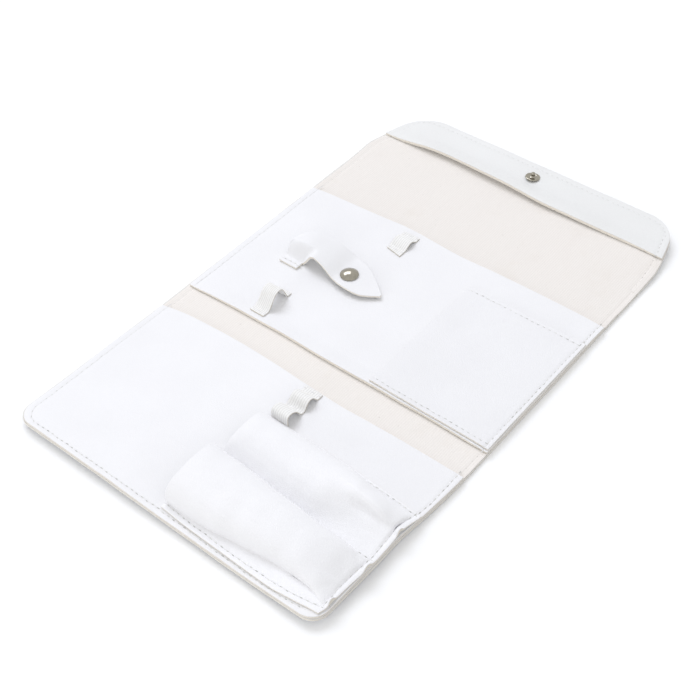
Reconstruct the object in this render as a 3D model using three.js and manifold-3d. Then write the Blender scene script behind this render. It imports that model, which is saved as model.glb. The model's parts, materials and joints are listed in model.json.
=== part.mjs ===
// A soft jewelry case that lies open: one long leather piece, lined, that folds in three.
// Near panel with two tubular pockets, middle panel with loops, strap and card pocket,
// and a cover whose tapered end carries the closing snap.
// Millimetres. +X runs across the case, +Y along it towards the cover's end, +Z up.
// The origin is on the table under the centre of the open case.
import * as THREE from "three";
import { mergeVertices } from "three/addons/utils/BufferGeometryUtils.js";
import Module from "manifold-3d";

const wasm = await Module();
wasm.setup();

// ---- Driving dimensions ----
const width = 220;
const nearPanelLength = 116.7;
const nearFoldWidth = 20;
const middlePanelLength = 119.6;
const foldRelief = 1;
const coverLength = 72;
const nearCornerRadius = 10;
const flapFacingLength = 30.6;
const taperLength = 45;
const leftTaper = { depth: 16.5, power: 1.2, radius: 18 };
const rightTaper = { depth: 11, power: 1.5, radius: 16 };

const shellThickness = 1.5;
const liningThickness = 0.4;
const facingThickness = 1.2;
const pocketThickness = 1.2;
const elasticThickness = 0.9;
const strapThickness = 1.6;
const clearance = 0.3;

const foldAxisHeight = 5;
const nearLift = 1.4;
const coverLift = 3.4;
const middleEdgeBow = 1.2;
const flapEdgeBow = 3.4;

const nearSeamInset = 3;
const leftSeamInset = 5;
const rightSeamInset = 4;
const middleRightSeamInset = 3;
const coverSeamInset = 4.8;
const pocketSeamInset = 4.4;
const threadWidth = 0.6;
const threadHeight = 0.35;

const tubeMouthX = -0.5;
const tubeSideMargin = 3;
const middleSeamBow = 1.3;
const tubeNearEdgeY = 4.9;
const tubeNearSeamY = 7.4;
const nearTubeSpan = 41;
const farTubeSpan = 34;
const tubeFarMargin = 2;
const nearTubeHeight = 15.5;
const farTubeHeight = 10;
const pieceSkew = 0.035;

const doubleLoopX = 2.7;
const doubleLoopWidth = 12.1;
const loopAX = -63.5;
const loopAWidth = 10.4;
const loopAY = 5;
const loopBX = -33.2;
const loopBWidth = 11.6;
const loopBY = 97.2;

const cardMouthX = 28.6;
const cardNearMargin = 2.5;
const cardSideMargin = 0.6;
const cardLength = 97.8;
const cardSeamInset = 3;
const cardMouthBow = 0.8;

const strapFootX = -78.6;
const strapFootWidth = 13.6;
const strapFootY = 48.5;
const strapFootLength = 4.1;
const strapReach = 70.5;
const strapBodyWidth = 23;
const strapHump = 7.8;
const strapSnapReach = 45.6;

const capRadius = 5.75;
const capHeight = 2.6;
const socketRadius = 4.6;
const socketThickness = 0.5;
const postRadius = 1.5;
const strapPostHeight = 2.2;
const flangeRadius = 4.9;
const flangeThickness = 0.9;
const flapPostHeight = 2.8;
const postClearance = 0.7;
const flapSnapX = 2.3;
const flapSnapInset = 13.5;
const flapCapRadius = 6.2;
const flapCapHeight = 2.4;
const rivetRadius = 1.1;
const outerSocketRadius = 5.5;
const outerSocketHeight = 1;

// ---- Layers above the shell's underside ----
const liningBottom = shellThickness + clearance;
const liningTop = liningBottom + liningThickness;
const facingBottom = liningTop + clearance;
const facingTop = facingBottom + facingThickness;
const onFacing = facingTop + clearance;

// ---- Fold lines along Y, measured from the near edge ----
const nearFold1 = nearPanelLength;
const nearFold2 = nearFold1 + nearFoldWidth;
const middleEnd = nearFold2 + middlePanelLength;
const farFold1 = middleEnd + foldRelief;
const length0 = farFold1 + coverLength;

// The cover folds over the near panel with its stud seated in the outer socket, so the far
// fold's width follows from the height of what it wraps.
const foldedHeight = 2 * foldAxisHeight + nearFoldWidth;
const studStack = facingTop + coverLift * 0.9 + clearance + flangeThickness;
const farFoldWidth = foldedHeight + clearance + studStack - 2 * foldAxisHeight;
const farFold2 = farFold1 + farFoldWidth;
const length = length0 + farFoldWidth;
const flapEdgeY = length - flapFacingLength;
const flapSnapY = length - flapSnapInset;
const outerSocketY = nearFold1 + nearFold2 - (farFold1 + farFold2 - flapSnapY);

const half = width / 2;
const V2 = (x, y) => new THREE.Vector2(x, y);

function clamp01(v) {
  return Math.min(1, Math.max(0, v));
}

function smooth(v, a, b) {
  const t = clamp01((v - a) / (b - a));
  return t * t * (3 - 2 * t);
}

// Values read off a list of [position, value] pairs, joined by smooth steps.
function table(list, v) {
  if (v <= list[0][0]) return list[0][1];
  for (let i = 1; i < list.length; i++) {
    const [a, va] = list[i - 1];
    const [b, vb] = list[i];
    if (v <= b) return va + (vb - va) * ((v - a) / (b - a));
  }
  return list[list.length - 1][1];
}

// The near panel rests on its outer socket and the cover curls up towards its end.
function lift(y) {
  const near = nearLift * (1 - smooth(y, outerSocketY + 5, nearFold1 - 3));
  return near + coverLift * smooth(y, farFold2 + 2, length);
}

function liftSlope(y) {
  return (lift(y + 0.1) - lift(y - 0.1)) / 0.2;
}

// How far the outline stands in from the straight side at y.
function inset(side, y) {
  const taper = side < 0 ? leftTaper : rightTaper;
  const t = clamp01((y - (length - taperLength)) / taperLength);
  const far = Math.min(taper.radius, Math.max(0, y - (length - taper.radius)));
  const near = Math.min(nearCornerRadius, Math.max(0, nearCornerRadius - y));
  return (
    taper.depth * t ** taper.power +
    taper.radius -
    Math.sqrt(taper.radius ** 2 - far ** 2) +
    nearCornerRadius -
    Math.sqrt(nearCornerRadius ** 2 - near ** 2)
  );
}

function edgeX(side, y) {
  return side * (half - inset(side, y));
}

// Rows across the case from a to b, closer together round the corners.
function rowsBetween(a, b) {
  const rows = [a, b];
  for (let k = 1; k < 40; k++) rows.push(a + ((b - a) * k) / 40);
  for (let k = 0; k <= 8; k++) {
    const turn = 1 - Math.cos((k / 8) * (Math.PI / 2));
    rows.push(nearCornerRadius * turn);
    rows.push(length - leftTaper.radius * turn);
  }
  const kept = rows.filter((y) => y >= a && y <= b).sort((p, q) => p - q);
  const out = [kept[0]];
  for (const y of kept) {
    const corner = y < nearCornerRadius || y > length - leftTaper.radius;
    const step = corner ? 0.55 : 4.2;
    if (y - out[out.length - 1] >= step && b - y >= 0.4) out.push(y);
  }
  out.push(b);
  return out;
}

function spread(a, b, n) {
  return Array.from({ length: n + 1 }, (_, k) => a + ((b - a) * k) / n);
}

// ---- Solids ----
const materials = {
  leather: { color: 0xf4f3f1, roughness: 0.55, metalness: 0 },
  lining: { color: 0xe6ddd2, roughness: 0.9, metalness: 0 },
  elastic: { color: 0xe9e8e6, roughness: 0.85, metalness: 0 },
  thread: { color: 0xf1efe9, roughness: 0.8, metalness: 0 },
  nickel: { color: 0xc9c6c0, roughness: 0.22, metalness: 1 },
};

const part = new THREE.Group();
part.name = "jewelry_case";
const layout = new THREE.Group();
layout.position.y = -length / 2;
part.add(layout);

function addMesh(name, geometry, look) {
  const mesh = new THREE.Mesh(geometry, new THREE.MeshStandardMaterial(materials[look]));
  mesh.name = name;
  layout.add(mesh);
  return mesh;
}

// A closed solid between an upper and a lower grid of points; rows run along +Y and
// columns along +X.
function slabGeometry(top, bottom) {
  const ni = top.length;
  const nj = top[0].length;
  const position = [];
  for (const grid of [top, bottom]) {
    for (const row of grid) {
      for (const [x, y, z] of row) position.push(x, y, z + lift(y));
    }
  }
  const T = (i, j) => i * nj + j;
  const B = (i, j) => ni * nj + i * nj + j;
  const index = [];
  for (let i = 0; i < ni - 1; i++) {
    for (let j = 0; j < nj - 1; j++) {
      index.push(T(i, j), T(i, j + 1), T(i + 1, j + 1), T(i, j), T(i + 1, j + 1), T(i + 1, j));
      index.push(B(i, j), B(i + 1, j + 1), B(i, j + 1), B(i, j), B(i + 1, j), B(i + 1, j + 1));
    }
    const e = nj - 1;
    index.push(T(i, 0), T(i + 1, 0), B(i + 1, 0), T(i, 0), B(i + 1, 0), B(i, 0));
    index.push(T(i, e), B(i + 1, e), T(i + 1, e), T(i, e), B(i, e), B(i + 1, e));
  }
  const l = ni - 1;
  for (let j = 0; j < nj - 1; j++) {
    index.push(T(0, j), B(0, j), B(0, j + 1), T(0, j), B(0, j + 1), T(0, j + 1));
    index.push(T(l, j), B(l, j + 1), B(l, j), T(l, j), T(l, j + 1), B(l, j + 1));
  }
  const geometry = new THREE.BufferGeometry();
  geometry.setAttribute("position", new THREE.Float32BufferAttribute(position, 3));
  geometry.setIndex(index);
  geometry.computeVertexNormals();
  return geometry;
}

// A flat layer of the case between two heights, cut to the outline.
function plateGeometry(y0, y1, z0, z1, columns = 1, bow = () => 0, trim = 0) {
  const rows = rowsBetween(y0, y1);
  const grid = (z) =>
    rows.map((y) => {
      const left = edgeX(-1, y) + trim;
      const right = edgeX(1, y) - trim;
      return spread(left, right, columns).map((x) => [x, y, z + bow(x, y)]);
    });
  return slabGeometry(grid(z1), grid(z0));
}

// A bent sheet of even thickness about a middle surface given as rows of points.
function sheetGeometry(middle, thickness) {
  const ni = middle.length;
  const nj = middle[0].length;
  const point = (i, j) => new THREE.Vector3(...middle[i][j]);
  const sides = [[], []];
  for (let i = 0; i < ni; i++) {
    sides[0].push([]);
    sides[1].push([]);
    for (let j = 0; j < nj; j++) {
      const along = point(Math.min(i + 1, ni - 1), j).sub(point(Math.max(i - 1, 0), j));
      const across = point(i, Math.min(j + 1, nj - 1)).sub(point(i, Math.max(j - 1, 0)));
      const normal = across.cross(along).normalize().multiplyScalar(thickness / 2);
      sides[0][i].push(point(i, j).add(normal).toArray());
      sides[1][i].push(point(i, j).sub(normal).toArray());
    }
  }
  return slabGeometry(sides[0], sides[1]);
}

// A smooth row of n points through the given [y, z] points, never below the floor.
function profile(points, n, floor) {
  const curve = new THREE.CatmullRomCurve3(
    points.map(([y, z]) => new THREE.Vector3(0, y, z)),
    false,
    "centripetal",
  );
  return curve.getSpacedPoints(n).map((p) => [p.y, Math.max(p.z, floor)]);
}

function solidOf(geometry) {
  const bare = geometry.clone();
  bare.deleteAttribute("normal");
  bare.deleteAttribute("uv");
  const merged = mergeVertices(bare, 1e-4);
  return new wasm.Manifold(
    new wasm.Mesh({
      numProp: 3,
      vertProperties: merged.attributes.position.array,
      triVerts: new Uint32Array(merged.index.array),
    }),
  );
}

// The geometry with a round hole at x, y right through it.
function drilled(geometry, x, y, radius) {
  const tool = new THREE.CylinderGeometry(radius, radius, 30, 24);
  tool.rotateX(Math.PI / 2);
  tool.translate(x, y, 0);
  const mesh = solidOf(geometry).subtract(solidOf(tool)).getMesh();
  const cut = new THREE.BufferGeometry();
  cut.setAttribute("position", new THREE.Float32BufferAttribute(mesh.vertProperties, 3));
  cut.setIndex(Array.from(mesh.triVerts));
  cut.computeVertexNormals();
  return cut;
}

// A turned metal piece on the leather at x, y; its profile is in [radius, height] and
// closes on itself or starts and ends on the axis.
function turned(name, points, x, y, z, tilt = liftSlope(y), height = lift(y)) {
  const geometry = new THREE.LatheGeometry(points.map(([r, h]) => V2(r, h)), 28);
  geometry.rotateX(Math.PI / 2);
  const mesh = addMesh(name, geometry, "nickel");
  mesh.position.set(x, y, z + height);
  mesh.rotation.x = Math.atan(tilt);
  return mesh;
}

function dome(radius, height, rim) {
  const points = [[0, 0], [radius - 0.3, 0], [radius, 0.25], [radius, rim]];
  const steps = 6;
  for (let k = 0; k <= steps; k++) {
    const a = (k / steps) * (Math.PI / 2);
    points.push([(radius - 0.35) * Math.cos(a), rim + 0.25 + (height - rim - 0.25) * Math.sin(a)]);
  }
  points[points.length - 1][0] = 0;
  return points;
}

function ring(outer, inner, z0, z1) {
  return [[inner, z0], [outer - 0.2, z0], [outer, z0 + 0.15], [outer - 0.15, z1], [inner, z1], [inner, z0]];
}

// A line of stitching as one flat thread along a path of [x, y, z] points.
function thread(name, path) {
  const w = threadWidth / 2;
  const h = threadHeight / 2;
  const rails = path.map(([x, y, z], k) => {
    const [x0, y0] = path[Math.max(k - 1, 0)];
    const [x1, y1] = path[Math.min(k + 1, path.length - 1)];
    const d = Math.hypot(x1 - x0, y1 - y0) || 1;
    return { x, y, z, sx: (y1 - y0) / d, sy: -(x1 - x0) / d };
  });
  const grid = (dz) =>
    rails.map((r) => [
      [r.x - r.sx * w, r.y - r.sy * w, r.z + dz],
      [r.x + r.sx * w, r.y + r.sy * w, r.z + dz],
    ]);
  addMesh(name, slabGeometry(grid(h), grid(-h)), "thread");
}

function line(x0, y0, x1, y1, z, n) {
  return spread(0, 1, n).map((t) => {
    const x = x0 + (x1 - x0) * t;
    const y = y0 + (y1 - y0) * t;
    return [x, y, typeof z === "function" ? z(x, y) : z];
  });
}

const threadLevel = clearance + threadHeight / 2;

// ---- Shell and lining, one length per moving section ----
const sections = [
  { name: "near_panel", from: 0, to: nearFold1 },
  { name: "near_fold", from: nearFold1, to: nearFold2 },
  { name: "middle_panel", from: nearFold2, to: farFold1 },
  { name: "far_fold", from: farFold1, to: farFold2 },
  { name: "cover", from: farFold2, to: length },
];
for (const section of sections) {
  const from = section.from + (section.from > 0 ? clearance / 2 : 0);
  const to = section.to - (section.to < length ? clearance / 2 : 0);
  let shell = plateGeometry(from, to, 0, shellThickness);
  let lining = plateGeometry(from, to, liningBottom, liningTop);
  if (section.name === "near_panel") {
    shell = drilled(shell, flapSnapX, outerSocketY, postRadius + postClearance);
  }
  if (section.name === "cover") {
    shell = drilled(shell, flapSnapX, flapSnapY, rivetRadius + clearance);
    lining = drilled(lining, flapSnapX, flapSnapY, rivetRadius + clearance);
  }
  addMesh("shell_" + section.name, shell, "leather");
  addMesh("lining_" + section.name, lining, "lining");
}

// ---- Facings ----
// The middle facing's near edge stands up a little between its sewn sides.
function middleBow(x, y) {
  const across = Math.cos((x / (half - middleRightSeamInset)) * (Math.PI / 2));
  const free = 1 - smooth(y, nearFold2, nearFold2 + 12);
  return middleEdgeBow * Math.sqrt(Math.max(0, across)) * free;
}

// The flap facing's near edge bows up, most of all left of the middle. The bow dies out
// under the near side of the stud's flange.
const flapBowReach = flapFacingLength - flapSnapInset - flangeRadius + 0.6;
function flapBow(x, y) {
  const s = clamp01((x + half - coverSeamInset) / (width - 2 * coverSeamInset));
  const across = Math.max(0, Math.sin(Math.PI * s ** 0.7)) ** 0.8;
  return flapEdgeBow * across * (1 - smooth(y, flapEdgeY, flapEdgeY + flapBowReach));
}

addMesh(
  "facing_near_panel",
  plateGeometry(0, nearFold1 - clearance / 2, facingBottom, facingTop),
  "leather",
);
addMesh(
  "facing_middle_panel",
  drilled(
    plateGeometry(nearFold2 + clearance / 2, middleEnd, facingBottom, facingTop, 12, middleBow),
    strapFootX + strapSnapReach,
    nearFold2 + strapFootY + strapFootLength + strapBodyWidth / 2 - 3,
    rivetRadius + clearance,
  ),
  "leather",
);
addMesh(
  "facing_flap",
  drilled(
    plateGeometry(flapEdgeY, length, facingBottom, facingTop, 14, flapBow),
    flapSnapX,
    flapSnapY,
    rivetRadius + clearance,
  ),
  "leather",
);

// ---- The two tubular pockets: one leather piece sewn down in three lines ----
const flatMiddle = onFacing + pocketThickness / 2;
const tubeRight = half - tubeSideMargin;
const pocketSeamX = tubeRight - pocketSeamInset;
const nearTubeShape = [
  [0, 0], [-0.006, 0.12], [-0.014, 0.27], [-0.02, 0.45], [-0.01, 0.58], [0.03, 0.71],
  [0.106, 0.81], [0.196, 0.86], [0.287, 0.895], [0.469, 0.96], [0.62, 1], [0.72, 0.96],
  [0.8, 0.86], [0.86, 0.73], [0.91, 0.53], [0.96, 0.24], [1, 0],
];
const farTubeShape = [
  [0, 0], [0.04, 0.12], [0.09, 0.3], [0.2, 0.62], [0.32, 0.82], [0.44, 0.94], [0.58, 1],
  [0.7, 0.99], [0.8, 0.9], [0.88, 0.7], [0.95, 0.35], [1, 0],
];
const nearTubeSwell = [
  [0, 1], [25, 0.98], [50, 0.93], [66, 0.82], [80, 0.6], [92, 0.32], [99, 0.12], [103.5, 0], [110, 0],
];
const farTubeSwell = [
  [0, 0.69], [20, 0.74], [40, 0.82], [60, 0.93], [75, 1], [86, 0.9], [94, 0.58], [100, 0.22],
  [103.5, 0], [110, 0],
];

// Seam positions drift towards the near edge with x, because the piece is sewn on askew.
function tubeLines(x) {
  const drift = pieceSkew * (x - tubeMouthX);
  const nearSeam = tubeNearSeamY - drift * 0.35;
  const along = clamp01((x - tubeMouthX) / (tubeRight - tubeMouthX));
  const sag = middleSeamBow * Math.sin(Math.PI * along);
  const middleSeam = tubeNearSeamY + nearTubeSpan + 1.6 - drift * 1.35 - sag;
  const farSeam = tubeNearSeamY + nearTubeSpan + farTubeSpan - drift * 0.95;
  return {
    edge: tubeNearEdgeY - drift * 0.3,
    nearSeam,
    middleSeam,
    farSeam,
    end: farSeam + tubeFarMargin,
  };
}

function tubeSection(x) {
  const at = tubeLines(x);
  const reach = 103.5;
  const along = ((x - tubeMouthX) / (pocketSeamX - 0.9 - tubeMouthX)) * reach;
  const rise1 = nearTubeHeight * table(nearTubeSwell, along) * (along < reach ? 1 : 0);
  const rise2 = farTubeHeight * table(farTubeSwell, along) * (along < reach ? 1 : 0);
  const near0 = at.nearSeam + 1.2;
  const near1 = at.middleSeam - 1;
  const far0 = at.middleSeam + 1;
  const far1 = at.farSeam - 0.9;
  const points = [[at.edge, flatMiddle], [at.nearSeam, flatMiddle]];
  for (const [s, t] of nearTubeShape) {
    points.push([near0 + s * (near1 - near0) * (rise1 > 4 ? 1 : s < 0 ? 0 : 1), flatMiddle + t * rise1]);
  }
  for (const [s, t] of farTubeShape) {
    points.push([far0 + s * (far1 - far0), flatMiddle + t * rise2]);
  }
  points.push([at.farSeam + 0.4, flatMiddle], [at.end, flatMiddle]);
  return points;
}

const tubeColumns = spread(0, 1, 22).map((t) => tubeMouthX + (tubeRight - tubeMouthX) * t);
const tubeSections = tubeColumns.map((x) => tubeSection(x));
const tubeRows = tubeSections[0].map((_, i) =>
  tubeColumns.map((x, j) => {
    const [y, z] = tubeSections[j][i];
    const right = Math.min(tubeRight, edgeX(1, y) - tubeSideMargin);
    const t = (x - tubeMouthX) / (tubeRight - tubeMouthX);
    return [tubeMouthX + t * (right - tubeMouthX), y, z];
  }),
);
addMesh("tube_pockets", sheetGeometry(tubeRows, pocketThickness), "leather");

const onPocket = onFacing + pocketThickness + threadLevel;
const pocketSewnEnd = pocketSeamX - 1.6;
const tubeSeams = [["near", "nearSeam"], ["middle", "middleSeam"], ["far", "farSeam"]];
for (const [label, key] of tubeSeams) {
  const end = key === "nearSeam" ? pocketSewnEnd - 2.6 : pocketSewnEnd;
  const path = spread(tubeMouthX + 1.2, end, 12).map((x) => {
    const shift = key === "nearSeam" ? -0.9 : key === "farSeam" ? 0.7 : 0;
    return [x, tubeLines(x)[key] + shift, onPocket];
  });
  thread("thread_tube_" + label, path);
}

// ---- Elastic: the double loop beyond the far tube, and the two single loops ----
function elasticLoop(name, x, loopWidth, y, points, ride = () => 0, skew = 0) {
  const rest = onFacing + elasticThickness / 2;
  const line2 = profile(points.map(([dy, dz]) => [y + dy, rest + dz]), 34, rest);
  const rows = line2.map(([py, pz]) =>
    spread(0, 1, 2).map((t) => {
      const lean = skew * (0.5 - t) * clamp01(1 - (py - y) / 6);
      const px = x + loopWidth * t;
      return [px, py + lean, pz + ride(px, py + lean)];
    }),
  );
  addMesh(name, sheetGeometry(rows, elasticThickness), "elastic");
}

const doubleLoopY = tubeLines(doubleLoopX + doubleLoopWidth / 2).end + clearance + 0.75;
elasticLoop("double_loop", doubleLoopX, doubleLoopWidth, doubleLoopY, [
  [0, 0.2], [0, 2.2], [0.3, 4.3], [1.2, 6.0], [3, 6.7], [5.2, 6.3], [7.6, 4.8], [9.3, 2.6],
  [10.6, 0.8], [11.8, 0.05], [13.2, 0.05], [14.6, 0.95], [16.3, 3.0], [18.2, 4.4], [20, 4.6],
  [21.8, 3.8], [23.4, 1.8], [24.8, 0.25], [26, 0], [29.2, 0],
]);
elasticLoop(
  "loop_a",
  loopAX,
  loopAWidth,
  nearFold2 + loopAY,
  [
    [0, 0], [4.2, 0], [6.6, 1.8], [8.4, 3.8], [10.5, 6.5], [12.9, 8.7], [15.5, 9.5], [17.8, 8.7],
    [19.4, 6.2], [20.8, 2.9], [21.8, 0.5], [22.8, 0], [25.4, 0],
  ],
  middleBow,
);
elasticLoop(
  "loop_b",
  loopBX,
  loopBWidth,
  nearFold2 + loopBY,
  [
    [0, 0], [4.4, 0], [6, 0.8], [8, 1.8], [10.4, 2.5], [12.6, 2.1], [14.4, 0.9], [15.6, 0.15],
    [16.8, 0], [19.4, 0],
  ],
  middleBow,
  2.4,
);
const onElastic = onFacing + elasticThickness + threadLevel;
const shortSeams = [
  ["thread_double_middle", doubleLoopX, doubleLoopWidth, doubleLoopY + 12.5, onElastic + 0.05],
  ["thread_double_end", doubleLoopX, doubleLoopWidth, doubleLoopY + 27.6, onElastic],
  ["thread_loop_a_near", loopAX, loopAWidth, nearFold2 + loopAY + 2, onElastic],
  ["thread_loop_a_far", loopAX, loopAWidth, nearFold2 + loopAY + 24, onElastic],
  ["thread_loop_b_near", loopBX, loopBWidth, nearFold2 + loopBY + 2.6, onElastic],
  ["thread_loop_b_far", loopBX, loopBWidth, nearFold2 + loopBY + 18, onElastic],
];
for (const [name, x, loopWidth, y, z] of shortSeams) {
  const ride = y > nearFold2 ? middleBow : () => 0;
  thread(name, line(x + 1, y, x + loopWidth - 1, y, (px, py) => z + ride(px, py), 4));
}

// ---- Card pocket, sewn on three sides, its mouth to the left ----
const cardY0 = nearFold2 + cardNearMargin;
const cardY1 = cardY0 + cardLength;
const cardRight = half - cardSideMargin;
const cardSewnEnd = half - middleRightSeamInset - 1.6;
function cardRide(x, y) {
  const mouth = 1 - smooth(x, cardMouthX, cardMouthX + 18);
  const between = Math.max(0, Math.sin(Math.PI * clamp01((y - cardY0 - 3) / (cardLength - 6))));
  return middleBow(x, y) + cardMouthBow * mouth * between;
}
const cardGrid = (z) =>
  spread(cardY0, cardY1, 24).map((y) =>
    spread(cardMouthX, cardRight, 9).map((x) => [x, y, z + cardRide(x, y)]),
  );
addMesh("card_pocket", slabGeometry(cardGrid(onFacing + pocketThickness), cardGrid(onFacing)), "leather");
for (const [name, y] of [
  ["thread_card_near", cardY0 + cardSeamInset],
  ["thread_card_far", cardY1 - cardSeamInset],
]) {
  thread(name, line(cardMouthX + 1.2, y, cardSewnEnd, y, (px, py) => onPocket + cardRide(px, py), 20));
}

// ---- Strap: a sewn foot, and the humped body that swings from it ----
const strapFootY0 = nearFold2 + strapFootY;
const strapFootY1 = strapFootY0 + strapFootLength;
const footTop = onFacing + strapThickness;
const footRows = (z) =>
  spread(strapFootY0, strapFootY1, 2).map((y) => [
    [strapFootX, y, z],
    [strapFootX + strapFootWidth, y, z],
  ]);
addMesh("strap_foot", slabGeometry(footRows(footTop), footRows(onFacing)), "leather");
thread(
  "thread_strap_foot",
  line(strapFootX + 1, strapFootY1 - 1.4,
    strapFootX + strapFootWidth - 1, strapFootY1 - 1.4, footTop + threadLevel, 2),
);

const strapHingeY = strapFootY1 + 0.4;
const strapBase = strapFootY1 + 1.3;
const snapSpotX = strapFootX + strapSnapReach;
const snapSpotY = strapFootY1 + strapBodyWidth / 2 - 3;
const strapLow = onFacing + 2.9;
const strapReachShare = strapReach / 70.5;
const nearEdgeLine = [
  [0, 0], [13, 0], [17, 1.0], [23, 1.6], [30, 0.6], [38, -1.4], [46, -3], [54, -3.2],
  [60, -2.2], [66, 1.6], [70.5, 5.6],
];
const farEdgeLine = [
  [0, 7], [0.6, 11.5], [2.5, 16], [6, 19.3], [11, 21.3], [19, 22.6], [29, 23], [39, 22.6],
  [46, 21.3], [54, 18], [61, 13.7], [66.5, 9.6], [70.5, 6.4],
];
// The body lies almost flat from the near side of the snap's cap to the tip.
const snapAt = strapSnapReach / strapReachShare;
const humpLine = [
  [0, 0.9], [6.5, 0.99], [12.5, 0.95], [18.5, 0.83], [24.5, 0.69], [30.5, 0.5],
  [snapAt - capRadius - 4.35, 0.24], [snapAt - capRadius - 1.35, 0.09],
  [snapAt - capRadius + 1.15, 0.05], [snapAt + 4.4, 0.04], [54, 0.03], [60, 0], [70.5, -0.04],
];
function strapPoint(u, v) {
  const at = u / strapReachShare;
  const share = strapBodyWidth / 23;
  const y0 = strapBase + table(nearEdgeLine, at) * share;
  const y1 = strapBase + table(farEdgeLine, at) * share;
  const y = y0 + (y1 - y0) * v;
  const full = strapLow + strapHump * table(humpLine, at);
  const foot = onFacing + 1.4;
  const sewn = 1 - smooth(at, strapFootWidth - 0.4, strapFootWidth + 8);
  const climb = smooth(y - y0, -1.4, 4.2);
  const droop = 0.08 * (full - strapLow) * smooth(v, 0.6, 1);
  const free = full - droop;
  return [strapFootX + 0.2 + u, y, foot + (free - foot) * (1 - sewn * (1 - climb))];
}
const strapRows = [0, 0.03, 0.06, 0.09, 0.12, 0.16, 0.2, 0.26, 0.34, 0.44, 0.56, 0.68, 0.8, 0.9, 1];
const strapMiddle = strapRows.map((v) => spread(0, strapReach, 30).map((u) => strapPoint(u, v)));
addMesh(
  "strap",
  drilled(sheetGeometry(strapMiddle, strapThickness), snapSpotX, snapSpotY, postRadius + postClearance),
  "leather",
);

// ---- Snap fasteners ----
// Strap snap: a stud on the middle facing, a socket under the strap and a cap on top.
const snapTopZ = strapLow + strapHump * table(humpLine, snapAt) + strapThickness / 2;
turned("strap_cap", dome(capRadius, capHeight, 0.6), snapSpotX, snapSpotY, snapTopZ + clearance, 0, 0);
turned(
  "strap_socket",
  ring(socketRadius, postRadius + postClearance, 0, socketThickness),
  snapSpotX,
  snapSpotY,
  snapTopZ - strapThickness - clearance - socketThickness,
  0,
  0,
);
turned(
  "strap_stud",
  [
    [0, -clearance - facingThickness], [rivetRadius, -clearance - facingThickness], [rivetRadius, 0],
    [socketRadius, 0], [socketRadius, 0.45], [postRadius - 0.25, 0.45], [postRadius - 0.25, 1.1],
    [postRadius, 1.4], [postRadius, strapPostHeight - 0.35], [postRadius - 0.45, strapPostHeight],
    [0, strapPostHeight],
  ],
  snapSpotX,
  snapSpotY,
  onFacing,
  0,
  0,
);

// Closing snap: a stud on the flap facing with a capped rivet from the outside, and the
// socket it presses into on the outer side of the near panel.
turned(
  "flap_stud",
  [
    [0, 0], [flangeRadius - 0.2, 0], [flangeRadius, 0.2], [flangeRadius, 0.6],
    [flangeRadius - 0.4, flangeThickness], [postRadius + 0.5, flangeThickness - 0.1],
    [postRadius - 0.3, flangeThickness + 0.3], [postRadius - 0.3, flangeThickness + 1.3],
    [postRadius, flangeThickness + 1.7], [postRadius, flangeThickness + flapPostHeight - 0.5],
    [postRadius - 0.5, flangeThickness + flapPostHeight], [0, flangeThickness + flapPostHeight],
  ],
  flapSnapX,
  flapSnapY,
  onFacing,
);
const shank = facingTop + clearance;
const capDome = dome(flapCapRadius, flapCapHeight, 0.6);
const capProfile = capDome.map(([r, h]) => [r, -clearance - h]);
capProfile[0] = [rivetRadius, -clearance];
capProfile.unshift([0, shank - 2 * clearance], [rivetRadius, shank - 2 * clearance]);
capProfile.reverse();
turned("flap_cap", capProfile, flapSnapX, flapSnapY, 0);
turned(
  "outer_socket",
  ring(outerSocketRadius, postRadius + postClearance, 0, outerSocketHeight),
  flapSnapX,
  outerSocketY,
  -clearance - outerSocketHeight,
);

// ---- Edge stitching, one thread per section and side ----
const onLining = liningTop + threadLevel;
const level = facingTop + threadLevel;
const leftSeamX = -(half - leftSeamInset);
const rightSeamX = half - rightSeamInset;

// Near panel: one thread round three sides, over the tube piece's sewn margin on the right.
const nearPath = [];
const turn = nearCornerRadius - nearSeamInset;
for (const y of spread(nearFold1 - 1, nearSeamInset + turn, 20)) nearPath.push([leftSeamX, y, level]);
for (let k = 1; k <= 6; k++) {
  const a = (k / 6) * (Math.PI / 2);
  nearPath.push([leftSeamX + turn * (1 - Math.cos(a)), nearSeamInset + turn * (1 - Math.sin(a)), level]);
}
for (const x of spread(leftSeamX + turn + 8, pocketSeamX - turn - 8, 18)) {
  nearPath.push([x, nearSeamInset - 0.2, level]);
}
for (let k = 0; k <= 6; k++) {
  const a = (1 - k / 6) * (Math.PI / 2);
  nearPath.push([
    pocketSeamX - turn * (1 - Math.cos(a)),
    nearSeamInset + turn * (1 - Math.sin(a)) - (k === 0 ? 0.2 : 0),
    onPocket,
  ]);
}
const tubeEnd = tubeLines(pocketSeamX).end;
for (const y of spread(nearSeamInset + turn + 3, tubeEnd + 0.5, 18)) {
  nearPath.push([pocketSeamX, y, onPocket]);
}
for (const y of spread(tubeEnd + 4, nearFold1 - 1, 8)) nearPath.push([rightSeamX, y, level]);
thread("thread_near_edge", nearPath);

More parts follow.
